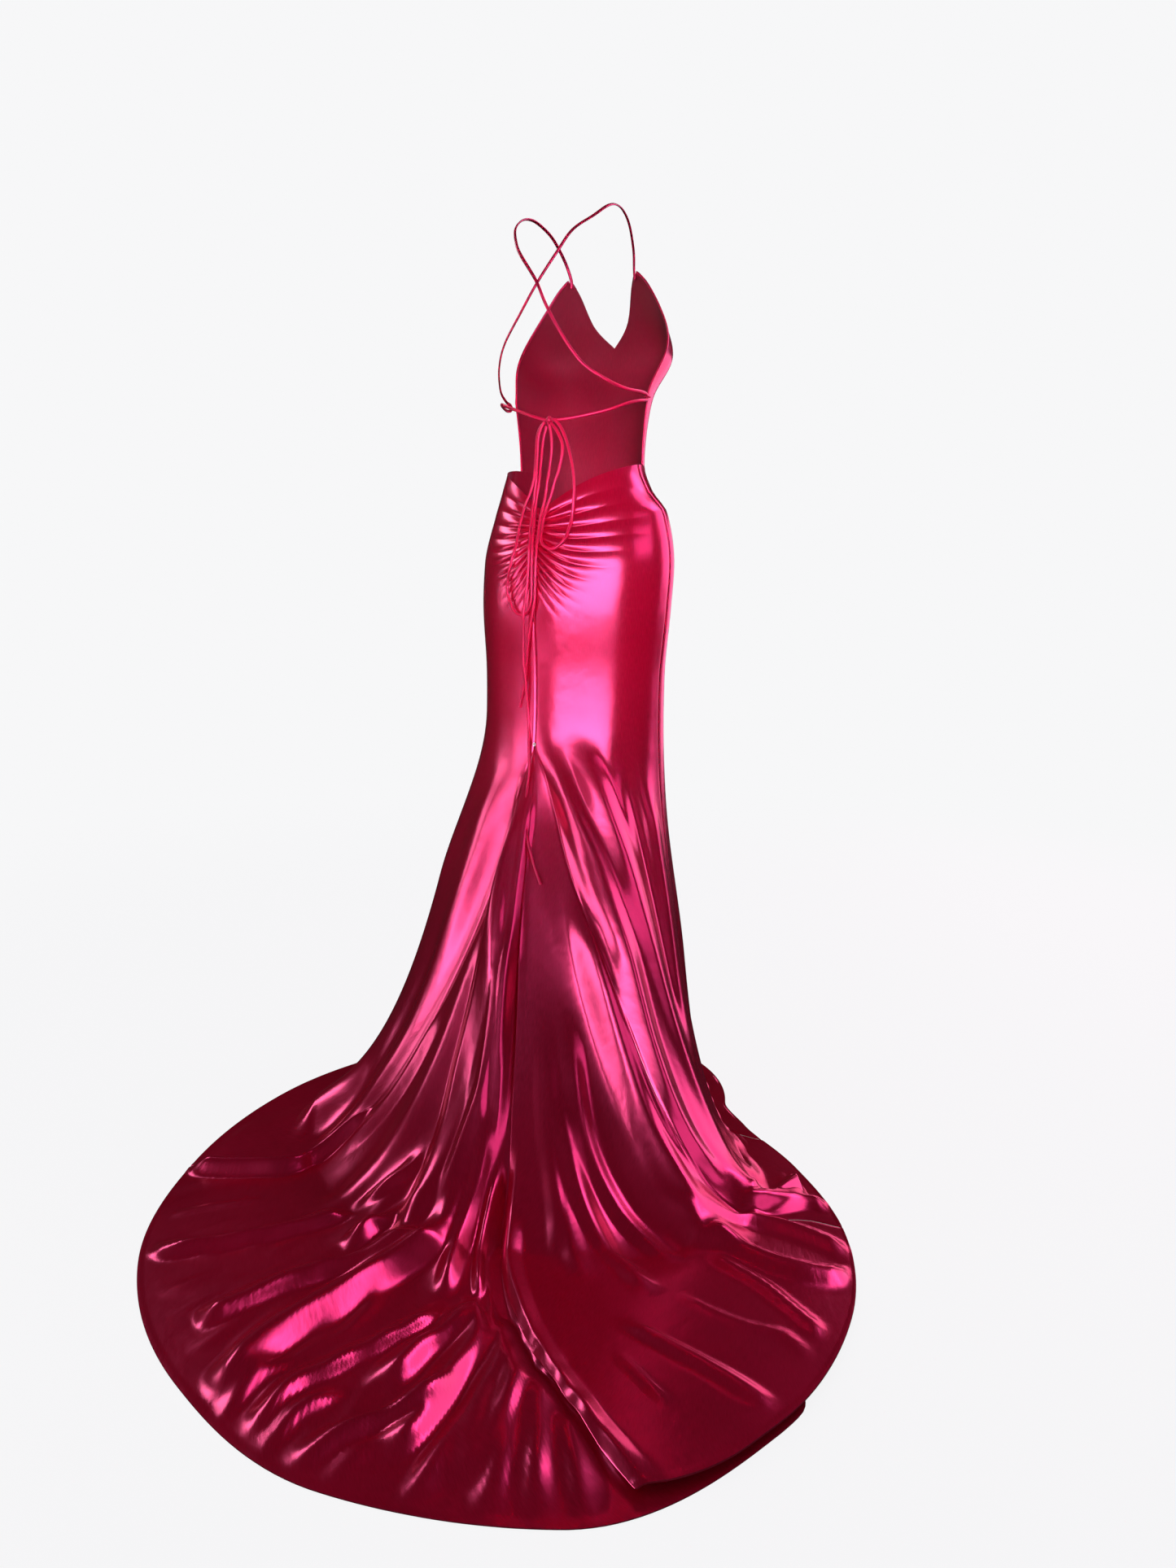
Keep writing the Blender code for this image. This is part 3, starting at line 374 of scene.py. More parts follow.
def makeTube(name, node, size, settings):  # a tube lies flat on the body
    points, length = curveThrough(routes[node], settings["spacing"], settings["curveStep"])
    centre = np.zeros_like(points)
    centre[:, 2] = np.minimum(points[:, 2], settings["neckCentre"])
    return sweepBand(name, points, unit(points - centre), *size, settings), points, length


def makeTie(node, settings):
    name = "satinTie_" + node.replace("tie_", "")
    piece, points, length = makeTube(name, node, settings["tie"], settings)
    return standFor(piece, node)


def makeStrap(node, settings):
    piece = makeTube("shoulderStrap_" + node.split("_")[1], node, settings["strap"], settings)[0]
    return standFor(piece, node)


for node in ("tie_loop_left", "tie_loop_right"):
    makeTie(node, band)
for node in ("tie_end_long", "tie_end_short"):
    makeTie(node, band)
for node in ("strap_left_shoulder", "strap_right_shoulder"):
    makeStrap(node, band)
print("ties and straps made")


# Shape of the gown: the same sections and folds as its solids
gown = {
    "waist": 1.108,
    "backDip": 1.034,
    "knee": 0.70,
    "sideSeam": 90.0,
    "topEdgeSide": 95.0,
    "bodiceSide": 100.0,
    "strapAngle": 147.0,
    "godetTop": 1.050,
    "cloth": 0.0013,
    "floorClear": 0.0002,     # the cloth's lowest points above the floor
    "seamGap": 0.0002,
    "backCurve": 1.6,
    "kneeEase": 0.11,         # height over which the hip line turns into the flare
    "kneeStep": 0.04,         # height above the knee over which the hips' slope is read
    "liftTilt": 1.05,         # run below the knee over which folds turn from outward to upward
}
body = table(  # half widths and depths at the hips, waist and bust
    "height leftWidth rightWidth backDepth frontDepth",
    (0.7, 0.158, 0.158, 0.119, 0.116),
    (0.78, 0.16, 0.163, 0.122, 0.11),
    (0.88, 0.164, 0.174, 0.127, 0.107),
    (0.95, 0.16, 0.179, 0.124, 0.107),
    (1.03, 0.141, 0.166, 0.102, 0.104),
    (1.07, 0.128, 0.135, 0.092, 0.102),
    (1.11, 0.118, 0.12, 0.084, 0.102),
    (1.22, 0.128, 0.128, 0.091, 0.124),
    (1.29, 0.144, 0.144, 0.095, 0.132),
    (1.36, 0.147, 0.147, 0.095, 0.124),
    (1.44, 0.15, 0.15, 0.085, 0.1),
)
sweep = table(  # metres from the centre line to where the cloth meets the floor, and to the hem
    "angle floor hem",
    (-180, 0.245, 0.3), (-150, 0.25, 0.31), (-120, 0.29, 0.345), (-90, 0.345, 0.4), (-60, 0.44, 0.53),
    (-37, 0.48, 0.663), (-18, 0.51, 0.802), (0, 0.535, 0.912), (15, 0.55, 0.985), (30, 0.55, 1),
    (45, 0.54, 0.9), (58, 0.5, 0.76), (70, 0.43, 0.61), (82, 0.34, 0.45), (95, 0.275, 0.325),
    (112, 0.245, 0.272), (145, 0.24, 0.275), (180, 0.245, 0.3),
)
# From knee to floor: the curve's four handles, as shares of the way out and of the knee's height
fall = table("out height", (0, 1), (0.1, 0.62), (0.5, 0.06), (1, 0))
godetSeams = table(  # angles of the godet's seams and of the pleat's two turns
    "run leftSeam underTurn pleatEdge rightSeam",
    (1.05, 0, 0, 0, 0),
    (1.058, -0.4, 0.1, 0.15, 0.6),
    (1.1, -5, 2, 2.4, 9.5),
    (1.16, -9, 4.2, 4.4, 17),
    (1.25, -13, 6.9, 6.8, 26),
    (1.38, -20, 10.6, 9.6, 37),
    (1.53, -27, 15.5, 13, 44.5),
    (1.7, -30, 20, 16, 50),
    (1.86, -31, 24, 18.5, 55),
    (2, -32, 28, 20, 60),
    (2.4, -34, 38, 26, 66.5),
    (2.64, -35, 44, 30, 69),
    (3, -36, 50, 35, 71),
)
pleat = table(  # layers of cloth under each share of the godet's width
    "share level",
    (0, 0), (0.52, 0), (0.6, 0.5), (0.64, 1), (0.68, 1.6), (0.74, 2.1), (0.85, 1.7), (0.94, 0.4), (1, 0),
)
pleatTurns = {
    "underTurnShare": 0.60,
    "edgeShare": 0.68,
    "layerKnee": 0.0035,      # one layer's height above the next at the knee and at the hem
    "layerHem": 0.0080,
    "opens": 1.3,
}

# Broad folds: angles at the four runs, runs where each starts and ends, lift and half width in millimetres
foldRuns = (1.2, 1.7, 2.2, 2.95)
folds = (
    (-66, -57, -48, -41, 1, 3.1, 36, 60),
    (-34, -42, -28, -24, 1.3, 2.3, -10, 50),
    (-34, -38, -30, -26, 1.1, 2.2, 14, 28),
    (-12, -12, -12, -19, 1.2, 3.2, 12, 30),
    (-9, -6, -3, -11, 1.7, 3.2, 18, 32),
    (-4, 5, 3, -3, 1.08, 3.1, 24, 30),
    (-1, 10, 8, 4, 1.1, 3.2, 22, 26),
    (4, 8, 14, 9, 1.8, 3.3, 26, 32),
    (6, 12, 19, 16, 1.95, 3.3, 22, 30),
    (22, 27, 34, 38, 1.1, 2.3, 12, 45),
    (30, 49, 55, 60, 1.1, 2.9, 30, 38),
    (20, 34, 43, 46, 1.15, 2.2, -12, 50),
    (44, 57, 68, 80, 1.08, 2.8, 26, 30),
    (60, 66, 76, 84, 1.1, 2.4, 16, 26),
    (84, 82, 88, 92, 1.12, 2.6, 12, 30),
    (110, 108, 106, 104, 1.15, 3.2, 14, 30),
    (132, 133, 134, 134, 1.2, 3.3, 18, 30),
    (158, 157, 156, 156, 1.15, 3.3, 16, 32),
    (-178, -178, -177, -177, 1.2, 3.3, 18, 30),
    (-153, -153, -154, -154, 1.15, 3.3, 16, 32),
    (-128, -127, -126, -126, 1.2, 3.3, 18, 34),
    (-100, -98, -96, -94, 1.15, 3.2, 18, 36),
)
foldFade = 0.35
foldCalm, calmStart, calmEase = 0.88, 1.92, 0.32   # broad folds are lower where the train lies on the floor
ruches = table(  # run of each valley at the seam and the side, height of the puff, metres it reaches each way
    "seam side puff leftReach rightReach",
    (0, 0, 0.0026, 0.07, 0.1),
    (0.04, 0.07, 0.004, 0.095, 0.15),
    (0.064, 0.135, 0.0048, 0.1, 0.17),
    (0.088, 0.2, 0.005, 0.1, 0.17),
    (0.112, 0.262, 0.005, 0.095, 0.15),
    (0.138, 0.325, 0.0048, 0.085, 0.115),
    (0.164, 0.39, 0.0046, 0.07, 0.085),
    (0.19, 0.455, 0.0044, 0.055, 0.065),
    (0.218, 0.52, 0.004, 0.045, 0.052),
    (0.25, 0.585, 0.0034, 0.038, 0.044),
    (0.29, 0.65, 0.0026, 0.032, 0.036),
    (0.35, 0.715, 0.0014, 0.026, 0.028),
    (0.44, 0.78, 0, 0.026, 0.028),
)
rucheEase, rucheStart, rucheLevel = 0.055, 0.006, 0.3
bodiceEdge = table(
    "angle height",
    (100, 1.222), (108, 1.272), (118, 1.325), (130, 1.378), (140, 1.413), (147, 1.425), (154, 1.407),
    (166, 1.352), (180, 1.318),
)
cups = table("angle height wide tall depth", (42, 1.29, 26, 0.055, 0.03), (0, 1.285, 20, 0.05, 0.01))

# Creases on top of the folds: (run, angle) points down each crest, then in millimetres its height and the
# widths of its left and right flanks
creases = [
    # left back panel and the left seam's hollow
    ([(1.08, -30), (1.21, -38), (1.4, -46), (1.66, -48), (1.85, -42)], 6, 30, 60),
    ([(1.1, -5), (1.25, -13), (1.38, -20), (1.53, -27), (1.7, -30), (1.9, -31)], -10, 45, 22),
    ([(1.5, -20), (1.62, -23), (1.77, -25), (1.95, -27)], 8, 14, 24),
    ([(1.74, -28), (1.9, -30), (2.11, -28), (2.46, -31), (3.05, -36)], 24, 18, 16),
    # godet, left of the pleat
    ([(1.08, -2), (1.19, -4), (1.4, -4), (1.61, -3), (1.75, 0), (1.89, 2), (2.04, 4)], 16, 16, 28),
    ([(1.36, 6), (1.53, 7), (1.66, 8), (1.79, 7), (1.94, 7)], 9, 12, 16),
    ([(1.08, 0), (1.16, 2), (1.26, 4), (1.41, 7.5), (1.55, 10), (1.67, 12.5), (1.8, 14)], 6, 10, 10),
    ([(1.14, -0.5), (1.29, 2.5), (1.44, 5.5), (1.61, 8.5), (1.76, 11)], -5, 10, 8),
    ([(1.7, 11.5), (1.82, 12.5), (1.94, 13), (2.23, 15)], 12, 14, 14),
    ([(1.76, 15), (1.88, 15.5), (2.06, 17.5), (2.24, 20)], 14, 8, 8),
    ([(1.74, 17), (1.88, 18), (2.06, 20), (2.25, 22.5)], -14, 10, 10),
    # train, left half
    ([(2, -6), (2.05, -8), (2.27, -11), (2.53, -14), (3, -19)], 15, 22, 13),
    ([(2.3, -21), (2.66, -24), (2.95, -25)], 3, 10, 10),
    ([(1.78, -3), (1.86, -4), (1.92, -6), (2.02, -8)], 12, 14, 14),
    ([(1.9, 1), (1.97, 0), (2.05, -2), (2.2, -2)], 16, 16, 20),
    ([(1.96, 6.5), (2.09, 4), (2.22, 2), (2.35, -1), (2.53, -3), (2.85, -5)], 19, 24, 18),
    ([(1.94, 10), (2, 9), (2.19, 6), (2.43, 4), (2.7, 2.5), (2.98, 3)], 26, 28, 30),
    ([(2.24, 8), (2.45, 8), (2.7, 6), (2.9, 6)], 3, 10, 10),
    ([(2.25, 16), (2.33, 15), (2.58, 10.5), (2.8, 8), (3, 8)], 14, 22, 14),
    ([(2.66, 6), (2.8, 5), (3.05, 5.5)], 10, 16, 11),
    ([(2.22, 18.5), (2.35, 18), (2.47, 16), (2.66, 14.5)], 18, 24, 20),
    ([(2.66, 12), (2.85, 10), (3.05, 10)], 11, 18, 12),
    ([(2.55, 20), (2.69, 18), (2.84, 14), (3.02, 12)], 17, 24, 16),
    ([(2.18, 19), (2.4, 21), (2.57, 20), (2.75, 19), (2.88, 18)], 18, 26, 20),
    ([(2.76, 17), (2.88, 16), (3.05, 15)], 9, 18, 14),
    # train, beside the pleat's edge
    ([(2.1, 18.5), (2.22, 20), (2.4, 22.5)], -10, 9, 9),
    ([(2.25, 22.5), (2.44, 23.5), (2.6, 23), (2.83, 21.5), (3.05, 20)], 16, 20, 22),
    ([(2.36, 25), (2.56, 25), (2.71, 24.2), (2.95, 23)], 15, 20, 20),
    ([(2.44, 26.5), (2.6, 26), (2.8, 25.5), (3.05, 25)], 18, 20, 28),
    ([(2.5, 28), (2.65, 28), (2.8, 28), (3.05, 28.5)], 17, 20, 28),
    ([(2.6, 30), (2.75, 30.3), (3.05, 31.5)], 14, 18, 26),
    # rolled edge of the pleat
    ([(1.86, 19.6), (2, 21), (2.4, 26.9), (2.64, 30.8), (3.05, 36.3)], 9, 11, 17),
    # small wrinkles across the folds
    ([(2.02, 4.5), (2.08, 2), (2.16, 0), (2.27, 0)], -3, 10, 10),
    ([(1.98, 10), (2.03, 8), (2.1, 6.5)], -3, 10, 10),
    ([(2.18, 17), (2.24, 14.5), (2.3, 13)], -5, 8, 8),
    # middle of the godet and the right seam's hollow
    ([(1.5, 21), (1.7, 24), (1.8, 26), (1.98, 30), (2.14, 32)], 4, 16, 16),
    ([(1.64, 27), (1.8, 30.5), (1.95, 34.5), (2.12, 38), (2.26, 40)], 9, 18, 18),
    ([(1.5, 29), (1.69, 32), (1.86, 38), (1.96, 42), (2.1, 46)], 8, 18, 16),
    ([(1.74, 25), (1.9, 27), (2.04, 28)], 3, 10, 12),
    ([(1.66, 42), (1.86, 46), (1.97, 50), (2.1, 50)], 8, 26, 14),
    ([(1.3, 33), (1.44, 38), (1.53, 41), (1.63, 44), (1.73, 46.5), (1.86, 50), (1.99, 52)], 14, 26, 16),
    ([(1.08, 8), (1.15, 16), (1.26, 27), (1.38, 38), (1.49, 44)], -8, 50, 18),
    ([(1.03, 12), (1.14, 27), (1.25, 40), (1.33, 44), (1.43, 48), (1.6, 51), (1.8, 56),
      (1.94, 61)], 15, 24, 16),
    ([(1.02, 32), (1.15, 46), (1.26, 54), (1.36, 57), (1.56, 61), (1.81, 65), (1.94, 66),
      (2.16, 67)], 18, 30, 22),
    ([(1.03, 62), (1.26, 67), (1.39, 68), (1.61, 68)], -6, 16, 16),
    ([(1.1, 76), (1.3, 77), (1.41, 76), (1.53, 74), (1.72, 70)], 9, 18, 18),
    # train, right half
    ([(2.05, 65), (2.16, 67), (2.45, 73), (2.8, 78)], 18, 20, 12),
    ([(1.94, 61), (2.08, 64), (2.23, 67), (2.67, 73), (3.05, 75)], 10, 16, 10),
    ([(1.88, 54), (1.98, 57), (2.11, 61.5), (2.53, 65.5), (2.8, 66.5), (3.05, 67)], 11, 20, 12),
    ([(1.96, 51), (2.13, 54), (2.34, 56), (2.61, 59), (3, 64)], 14, 24, 12),
    ([(2.1, 50), (2.49, 53), (2.72, 53.5), (2.94, 54)], 7, 14, 10),
    ([(2.24, 42), (2.53, 47), (2.75, 50.5), (2.95, 51)], 3, 10, 8),
    ([(2.3, 35), (2.53, 40), (2.72, 43), (3, 46)], 8, 16, 10),
    ([(2.44, 34), (2.62, 36.5), (2.76, 38)], 3, 8, 8),
]
creaseFade = 0.12
creaseCrest, creaseFoot = 0.22, 0.06
hemCalm, hemShare = 0.22, 0.15   # the last stretch of run over which the cloth settles almost flat at the hem

# Slight waves of the cloth where it lies: turns per degree, turns per run, phase, height, first run, last run
ripples = (
    (0.21, 0.9, 0.3, 0.0007, 2.05, 3.1),
    (0.33, -1.3, 1.9, 0.0006, 2.1, 3.1),
    (0.13, 2.1, 4.1, 0.0006, 2.05, 3.1),
    (0.54, 1.7, 2.6, 0.0004, 2.2, 3.1),
)
rippleSides = (-26, 34, 8, 10)   # degrees where the waves begin and end, and over which they rise and fade
rippleRise, rippleFade = 0.3, 0.15
rippleBend, bendAcross, bendDown = 1.5, 7, 3   # the waves' own slow bends, in radians, degrees and per run


def alike(*values):
    return np.broadcast_arrays(*(np.asarray(value, dtype=float) for value in values))


def onRing(angle, radius, height):
    turn = np.radians(angle)
    return np.stack((-np.sin(turn) * radius, np.cos(turn) * radius, height), axis=-1)


def bodyRadius(angle, height):
    left, right, back, front = (
        smoothTable(height, body["height"], body[name])
        for name in ("leftWidth", "rightWidth", "backDepth", "frontDepth")
    )
    turn = np.radians(angle)
    width = np.where(np.sin(turn) > 0, right, left)
    depth = np.where(np.cos(turn) > 0, back, front)
    return 1 / np.sqrt((np.sin(turn) / width) ** 2 + (np.cos(turn) / depth) ** 2)


def sweepRadius(angle, name):
    angles = np.concatenate((sweep["angle"][:-1] - 360, sweep["angle"], sweep["angle"][1:] + 360))
    reach = np.concatenate((sweep[name][:-1], sweep[name], sweep[name][1:]))
    return smoothTable(halfTurn(angle), angles, reach)


def plainSkirt(angle, run):  # the skirt without its folds
    angle, run = alike(angle, run)
    offSide = 1 - np.clip(np.abs(halfTurn(angle)) / gown["topEdgeSide"], 0, 1)
    top = gown["waist"] - (gown["waist"] - gown["backDip"]) * offSide ** gown["backCurve"]
    kneeHeight, kneeStep = gown["knee"], gown["kneeStep"]
    height = top + (kneeHeight - top) * np.clip(run, 0, 1)
    knee, floor, hem = bodyRadius(angle, kneeHeight), sweepRadius(angle, "floor"), sweepRadius(angle, "hem")
    drop = np.clip(run - 1, 0, 1)
    rest = 1 - drop
    weights = rest ** 3, 3 * drop * rest ** 2, 3 * drop ** 2 * rest, drop ** 3
    out = sum(weight * share for weight, share in zip(weights, fall["out"]))
    flareRadius = knee + out * (floor - knee)
    flareHeight = kneeHeight * sum(weight * share for weight, share in zip(weights, fall["height"]))
    trainRadius = floor + (hem - floor) * np.clip(run - 2, 0, 1)
    radius = np.select([run <= 1, run <= 2], [bodyRadius(angle, height), flareRadius], trainRadius)
    level = np.select([run <= 1, run <= 2], [height, flareHeight], 0.0)
    above = (bodyRadius(angle, kneeHeight + kneeStep) - knee) / kneeStep   # slopes either side of the knee
    below = fall["out"][1] * (floor - knee) / (kneeHeight * (1 - fall["height"][1]))
    inside = np.clip(1 - np.abs(level - kneeHeight) / gown["kneeEase"], 0, 1)
    return onRing(angle, radius + (above + below) * gown["kneeEase"] / 4 * inside ** 2, level)


def skirtRadius(angle, run):
    return np.linalg.norm(plainSkirt(angle, run)[..., :2], axis=-1)


def foldLift(angle, run, radius):
    lift = np.zeros(angle.shape)
    for *angles, start, end, height, halfWidth in folds:
        crest = smoothTable(run, foldRuns, angles)
        across = np.radians(halfTurn(angle - crest)) * radius / (halfWidth / 1000)
        lift += height / 1000 * between(run, start, end, foldFade, foldFade) * np.exp(-across ** 2)
    return lift * (1 - foldCalm * smoothStep((run - calmStart) / calmEase))


def creaseLift(angle, run, radius):
    lift = np.zeros(angle.shape)
    for line, height, leftWidth, rightWidth in creases:
        runs, angles = zip(*line)
        first, last = runs[0], runs[-1]
        near = (run > first) & (run < last)
        if not near.any():
            continue
        apart = halfTurn(angle[near] - smoothTable(run[near], runs, angles))
        across = np.radians(apart) * radius[near] / np.where(apart > 0, rightWidth / 1000, leftWidth / 1000)
        strength = between(run[near], first, last, creaseFade, creaseFade)
        far = np.sqrt(across ** 2 + creaseCrest ** 2) - creaseCrest   # even flanks, rounded at crest and foot
        foot = np.sqrt((1 - far) ** 2 + creaseFoot)
        lift[near] += height / 1000 * strength * 0.5 * (1 - far + foot - creaseFoot / 2 / foot)
    return lift


def rippleLift(angle, run):
    sides = between(halfTurn(angle), *rippleSides)
    lift = np.zeros(angle.shape)
    for across, down, phase, height, start, end in ripples:
        strength = between(run, start, end, rippleRise, rippleFade)
        bend = rippleBend * np.sin(angle / bendAcross + bendDown * run)
        wave = np.sin(2 * math.pi * (across * angle + down * run) + phase + bend)
        lift += height * strength * sides * wave
    return lift


def skirtSurface(angle, run, extraLift=0.0):
    angle, run = alike(angle, run)
    plain = plainSkirt(angle, run)
    radius = np.linalg.norm(plain[..., :2], axis=-1)
    tilt = smoothStep((run - 1) / gown["liftTilt"]) * math.pi / 2
    outward = onRing(angle, np.cos(tilt), np.sin(tilt))
    lift = foldLift(angle, run, radius) + creaseLift(angle, run, radius) + rippleLift(angle, run)
    lift = lift * (hemShare + (1 - hemShare) * smoothStep((3 - run) / hemCalm)) + extraLift
    points = plain + outward * lift[..., None]
    points[..., 2] = np.maximum(points[..., 2], gown["cloth"] / 2)
    return points


def hipArc(angle):  # length round the hips from the centre back
    return np.radians(np.abs(angle)) * skirtRadius(angle, rucheLevel)


def rucheSpread(arc):
    return 1 - np.exp(-arc * arc / (arc + rucheStart) / rucheEase)


def backSurface(angle, course):
    count = np.arange(len(ruches["seam"]))
    last = len(count) - 1
    valley, arc = np.clip(course, 0, last), hipArc(angle)
    seam, side, puff, left, right = (smoothTable(valley, count, column) for column in ruches.values())
    run = seam + (side - seam) * rucheSpread(arc) / rucheSpread(hipArc(gown["sideSeam"]))
    run = run + (1 - run) * np.clip(course - last, 0, 1) + np.clip(course - last - 1, 0, 2)
    reach = np.where(angle < 0, left, right)
    fade = np.exp(-((arc / reach) ** 2)) * smoothStep(2 - 2 * np.abs(angle) / gown["sideSeam"])
    return skirtSurface(angle, run, puff * np.abs(np.sin(math.pi * valley)) * fade)


def gapAngle(angle, run):
    return np.degrees(gown["seamGap"] / 2 / skirtRadius(angle, run))


def godetSurface(share, run):
    names = "leftSeam", "underTurn", "pleatEdge", "rightSeam"
    seams = np.array([smoothTable(run, godetSeams["run"], godetSeams[name]) for name in names])
    gap = gapAngle(seams[0], run)
    seams[0] += gap
    seams[3] -= gap
    knots = (0.0, pleatTurns["underTurnShare"], pleatTurns["edgeShare"], 1.0)
    angle = smoothTable(share, knots, seams)
    level = smoothTable(share, pleat["share"], pleat["level"])
    spread = pleatTurns["layerHem"] - pleatTurns["layerKnee"]
    layer = pleatTurns["layerKnee"] + spread * smoothStep(run - pleatTurns["opens"])
    opening = smoothStep((run - gown["godetTop"]) / foldFade)
    return skirtSurface(angle, run, level * layer * opening)


def bodiceSurface(angle, down):
    angle, down = alike(angle, down)
    top = smoothTable(180 - np.abs(180 - angle), bodiceEdge["angle"], bodiceEdge["height"])
    height = top + (gown["waist"] - top) * down
    radius = bodyRadius(angle, height)
    fromFront = np.abs(180 - angle)
    for turn, level, wide, tall, depth in zip(*cups.values()):
        radius = radius + depth * np.exp(-((fromFront - turn) / wide) ** 2 - ((height - level) / tall) ** 2)
    return onRing(angle, radius, height)


# Sheets: each panel is a thin closed wall, satin outside and its duller wrong side within. A flat is an
# estimate, made before the folds, of the width and length of the rectangle that the panel is cut from.
panels = {
    "rucheSteps": 12,
    "hipRows": 36,
    "flareRows": 130,
    "backColumns": 84,
    "backCrowding": 1.5,      # more columns near the ruched seam
    "sideEdge": (0.009, 0.006, 0.003, 0.001, 0),   # extra columns beside the side seam
    "backFlat": (0.62, 1.62),
    "frontHipRows": 40,
    "frontColumns": 110,
    "frontFlat": (0.95, 1.30),
    "godetRuns": (1.058, 1.8, 3),
    "godetFlareRows": 56,
    "godetTrainRows": 130,
    "godetLeftColumns": 206,
    "hiddenShare": 0.50,      # from here to the turn of the pleat the cloth lies under the upper layer
    "hiddenColumns": 20,
    "pleatColumns": 28,
    "godetRightColumns": 106,
    "rightCrowding": 1.25,    # more columns near the pleat's edge
    "godetFlat": (1.75, 1.15),
    "layerShorter": 0.05,     # the pleat's upper layer ends higher, and its hidden turn higher still
    "layerShares": (0.53, 0.79, 0.09, 0.09),
    "turnShorter": 0.06,
    "turnShares": (0.52, 0.69, 0.08, 0.05),
    "edgeColumns": 12,        # extra columns in the first two hundredths from a seam
    "edgeCrowding": 1.6,
    "edgeShare": 0.02,
    "seamDepth": 0.0011,      # the cloth dips where it is sewn to the next panel
    "seamWidth": 0.0024,
    "hemRows": 3,             # a narrow turned hem, three layers thick
    "hemEase": 1.5,
    "hemGain": 0.9,
    "bodiceRows": 64,
    "bodiceColumns": 128,
    "bodiceFlat": (0.42, 0.32),
    "sinkPasses": 8,
    "sinkPull": 0.7,
    "sinkClear": 0.5,         # share of the cloth's thickness
}


def gridNormals(middle):
    return unit(np.cross(np.gradient(middle, axis=0), np.gradient(middle, axis=1)))


def sinkBehind(inner, outer, outward, settings):
    # keeps the coarser wrong side behind the outside in tight hollows, by the middles of its edges and faces
    inner = inner.copy()
    odd, even = slice(1, None, 2), slice(None, None, 2)
    for _ in range(settings["sinkPasses"]):
        middles = (
            ((inner[:-1] + inner[1:]) / 2, (odd, even)),
            ((inner[:, :-1] + inner[:, 1:]) / 2, (even, odd)),
            ((inner[:-1, :-1] + inner[1:, 1:]) / 2, (odd, odd)),
            ((inner[1:, :-1] + inner[:-1, 1:]) / 2, (odd, odd)),
        )
        sink = np.zeros(inner.shape[:2])
        for middle, spots in middles:
            behind = ((outer[spots] - middle) * outward[spots]).sum(axis=-1)
            short = gown["cloth"] * settings["sinkClear"] - behind
            rows, columns = short.shape
            for down in range(sink.shape[0] - rows + 1):
                for over in range(sink.shape[1] - columns + 1):
                    part = sink[down:down + rows, over:over + columns]
                    np.maximum(part, short, out=part)
        sink[[0, -1]] = 0
        sink[:, [0, -1]] = 0
        inner -= outward[even, even] * sink[..., None] * settings["sinkPull"]
        inner[..., 2] = np.maximum(inner[..., 2], gown["floorClear"])
    return inner


def cells(grid):  # the four corners of each cell
    return grid[:-1, :-1], grid[1:, :-1], grid[1:, 1:], grid[:-1, 1:]


def wallFaces(rows, columns):  # the fine outside, the wrong side with half as many lines, and the rim between
    fine = np.arange(rows * columns).reshape(rows, columns)
    half = rows // 2 + 1, columns // 2 + 1
    coarse = np.arange(half[0] * half[1]).reshape(half) + rows * columns
    front, back = (np.stack(cells(grid), axis=-1).reshape(-1, 4) for grid in (fine, coarse))
    back = back[:, [0, 3, 2, 1]]
    rim, innerRim = (np.concatenate((grid[0, :-1], grid[:-1, -1], grid[-1, :0:-1], grid[:0:-1, 0]))
                     for grid in (fine, coarse))
    side = np.stack((rim[::2], rim[1::2], np.roll(rim, -2)[::2], np.roll(innerRim, -1), innerRim), axis=-1)
    return front.tolist() + back.tolist() + side.tolist(), [0] * len(front) + [1] * (len(back) + len(side))


def makePanel(name, node, middle, settings, ofSkirt=True):
    outward = gridNormals(middle)
    rows, columns = middle.shape[:2]
    thick = np.full((rows, columns), gown["cloth"])
    if ofSkirt:
        reach = travelled(middle, 1)
        for distance in (reach, reach[:, -1:] - reach):
            dip = settings["seamDepth"] * np.exp(-(distance / settings["seamWidth"]) ** 2)
            middle = middle - outward * dip[..., None]
        turned = smoothStep((np.arange(rows) - (rows - 1 - settings["hemRows"])) / settings["hemEase"])
        thick += turned[:, None] * gown["cloth"] * settings["hemGain"]
    outer = middle + outward * thick[..., None] / 2
    inner = middle - outward * thick[..., None] / 2
    for skin in (outer, inner):
        skin[..., 2] = np.maximum(skin[..., 2], gown["floorClear"])
    inner = sinkBehind(inner[::2, ::2], outer, outward, settings)
    points = np.concatenate((outer.reshape(-1, 3), inner.reshape(-1, 3)))
    across = travelled(middle, 1)
    across -= across[:, columns // 2][:, None]
    places = np.stack((across, travelled(middle, 0)), axis=-1)
    uvs = np.concatenate((places.reshape(-1, 2), places[::2, ::2].reshape(-1, 2)))
    faces, slots = wallFaces(rows, columns)
    piece = meshPiece(name, points, faces, uvs, [satinOutside, satinInside], slots)
    return standFor(piece, node)


